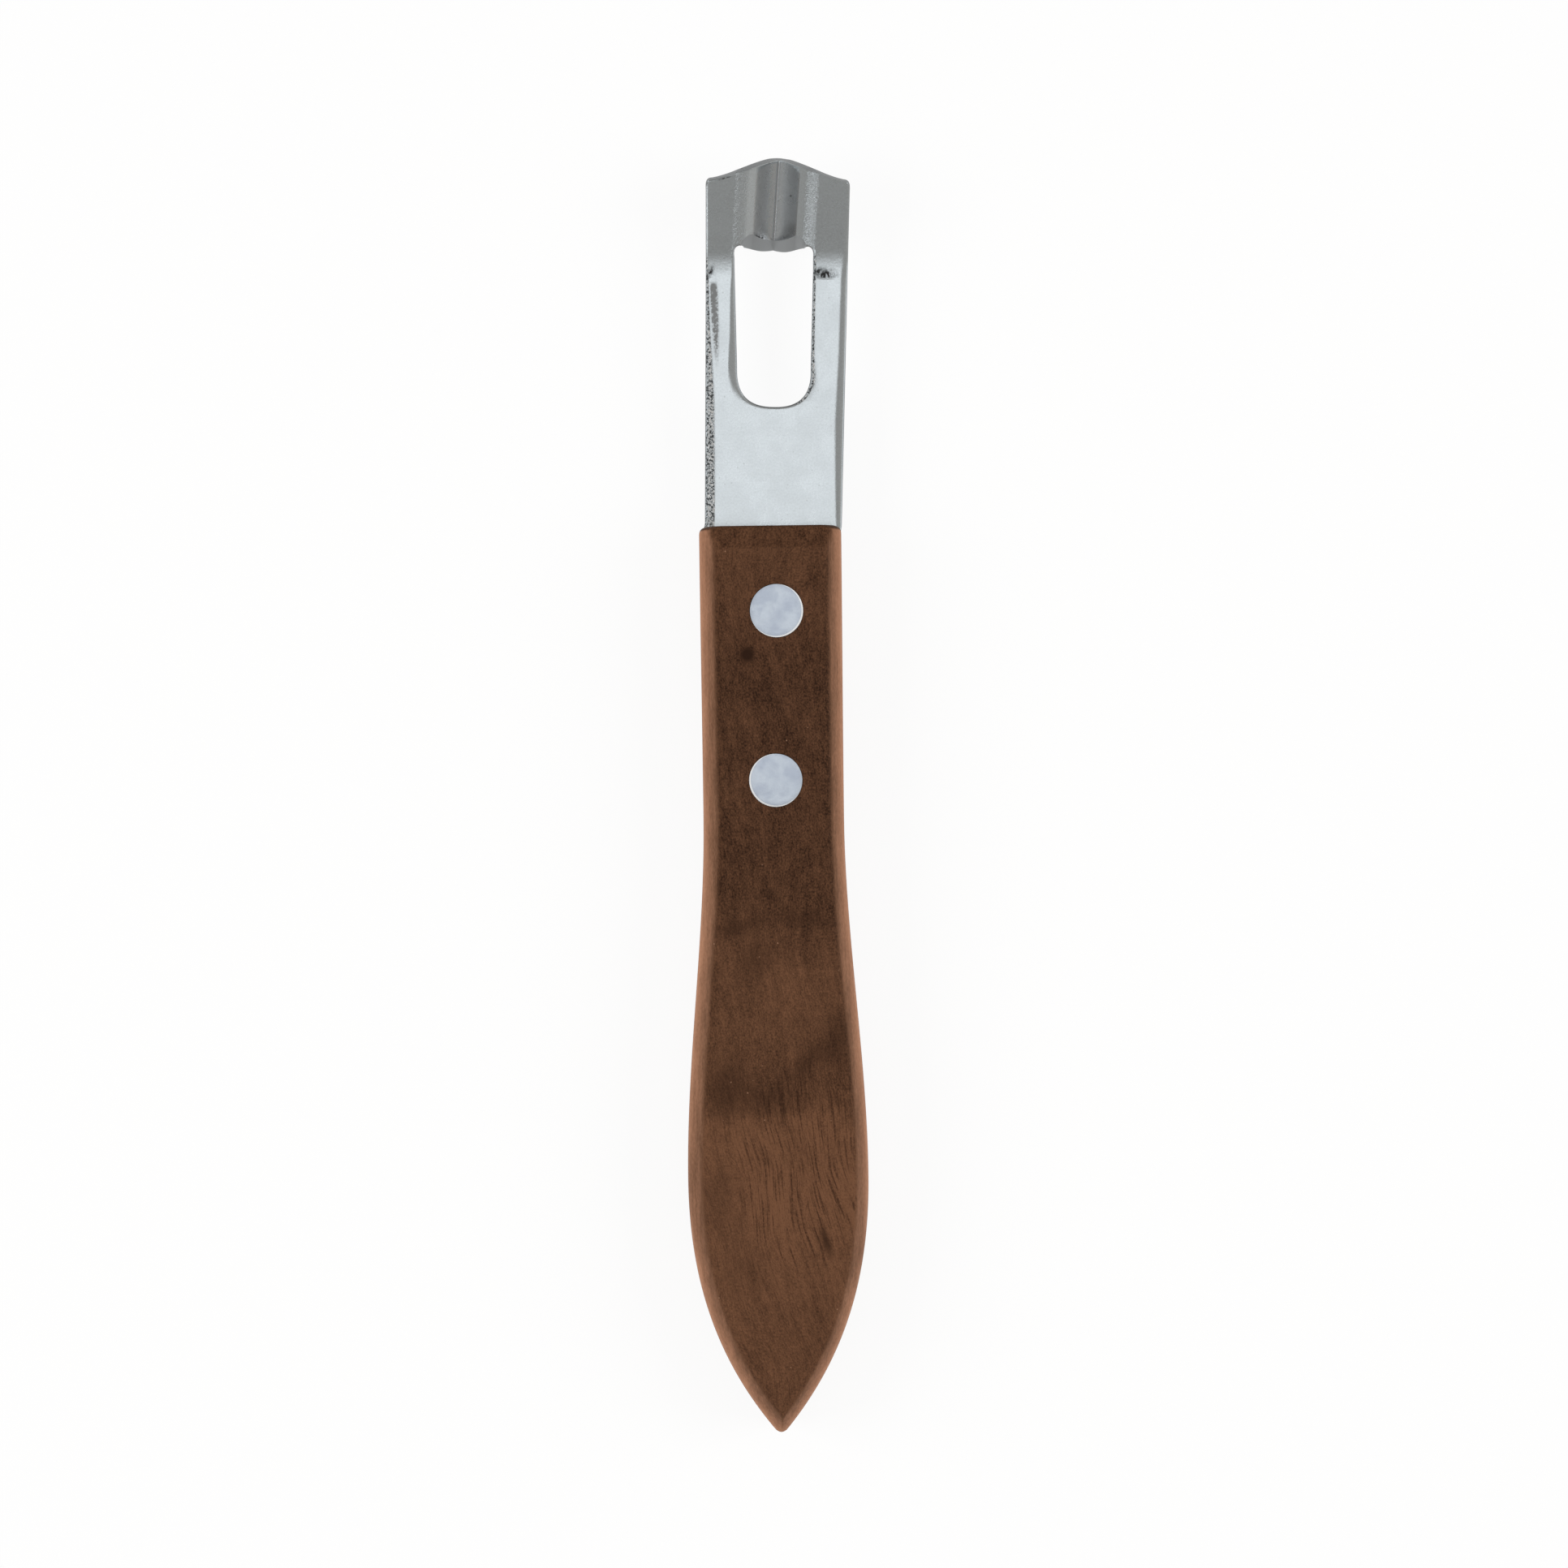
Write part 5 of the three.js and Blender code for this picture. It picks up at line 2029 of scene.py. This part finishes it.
@dataclass
class Studio:
    """White floor, soft lamps, grey walls and the camera straight above."""

    floor_size: float = 4.0
    camera_height: float = 0.8
    sharp_height: float = 0.008
    frame_width: float = 0.1932
    sensor: float = 36.0
    nearest: float = 0.01
    camera_place: Range = (0.001315, 0.001133)
    roll: float = math.radians(-0.73)
    wall_tint: Colour = (1.04, 0.98, 0.91)
    wall_top: float = 0.23
    wall_side: float = 0.07
    wall_foot: float = 0.26
    lamps: tuple[Lamp, ...] = (
        Lamp("overhead_box", (0.0, 0.05, 1.0), (0.85, 0.85), 0.4),
        Lamp("overhead_core", (0.0, 0.1, 0.99), (0.5, 0.5), 0.52),
        Lamp("left_fill", (-0.95, 0.0, 0.75), (0.7, 0.7), 4.4, False),
        Lamp("right_fill", (0.95, 0.0, 0.75), (0.7, 0.7), 4.4, False),
        Lamp("shoulder_light", (-0.55, -0.59, 0.59), (0.4, 0.4), 1.6),
    )

    def build(self) -> None:
        """Set the whole studio up."""
        self._floor()
        self._walls()
        for lamp in self.lamps:
            lamp.hang()
        self._camera()
        bpy.context.scene.view_settings.view_transform = "Standard"

    def _floor(self) -> None:
        """Lay the floor under the knife."""
        bpy.ops.object.select_all(action="DESELECT")
        bpy.ops.mesh.primitive_plane_add(size=self.floor_size)
        floor = bpy.context.active_object
        floor.name = "pale_floor"
        floor.data.materials.append(PaleFloor().material())

    def _walls(self) -> None:
        """Surround the knife with warm grey, lighter on the right and towards the floor."""
        world = bpy.data.worlds.new("grey_walls")
        world.use_nodes = True
        nodes = Nodes(world.node_tree)
        across, _, up = nodes.split(nodes.add("ShaderNodeTexCoord").outputs["Generated"])
        level = up * -self.wall_foot + (self.wall_top + self.wall_foot) + across * self.wall_side
        inputs = {"Color": (*self.wall_tint, 1.0), "Strength": level}
        background = nodes.add("ShaderNodeBackground", inputs)
        nodes.add("ShaderNodeOutputWorld", {"Surface": background.outputs[0]})
        bpy.context.scene.world = world

    def _camera(self) -> None:
        """Put the camera straight above the knife."""
        data = bpy.data.cameras.new("camera")
        data.sensor_width = self.sensor
        data.lens = self.sensor * (self.camera_height - self.sharp_height) / self.frame_width
        data.clip_start = self.nearest
        camera = bpy.data.objects.new("camera", data)
        camera.location = (*self.camera_place, self.camera_height)
        camera.rotation_euler = (0.0, 0.0, self.roll)
        bpy.context.scene.collection.objects.link(camera)
        bpy.context.scene.camera = camera


def main() -> None:
    """Build the studio and the knife, piece by piece."""
    logging.basicConfig(level=logging.INFO, format="%(name)s: %(message)s")
    groups = SharedGroups().build()
    Studio().build()
    rivets = [RivetPlace("front_rivet", 10.5, 0.67), RivetPlace("rear_rivet", 31.3, 0.31)]
    handle = WalnutHandle(rivets=rivets)
    handle.build(OiledWalnut().material(groups))
    PressedBlade(handle).build(SatinSteel().material(groups))
    rivet_finish = RivetMetal().material(groups)
    for place in rivets:
        CutlersRivet(place).build(rivet_finish)


if __name__ == "__main__":
    main()
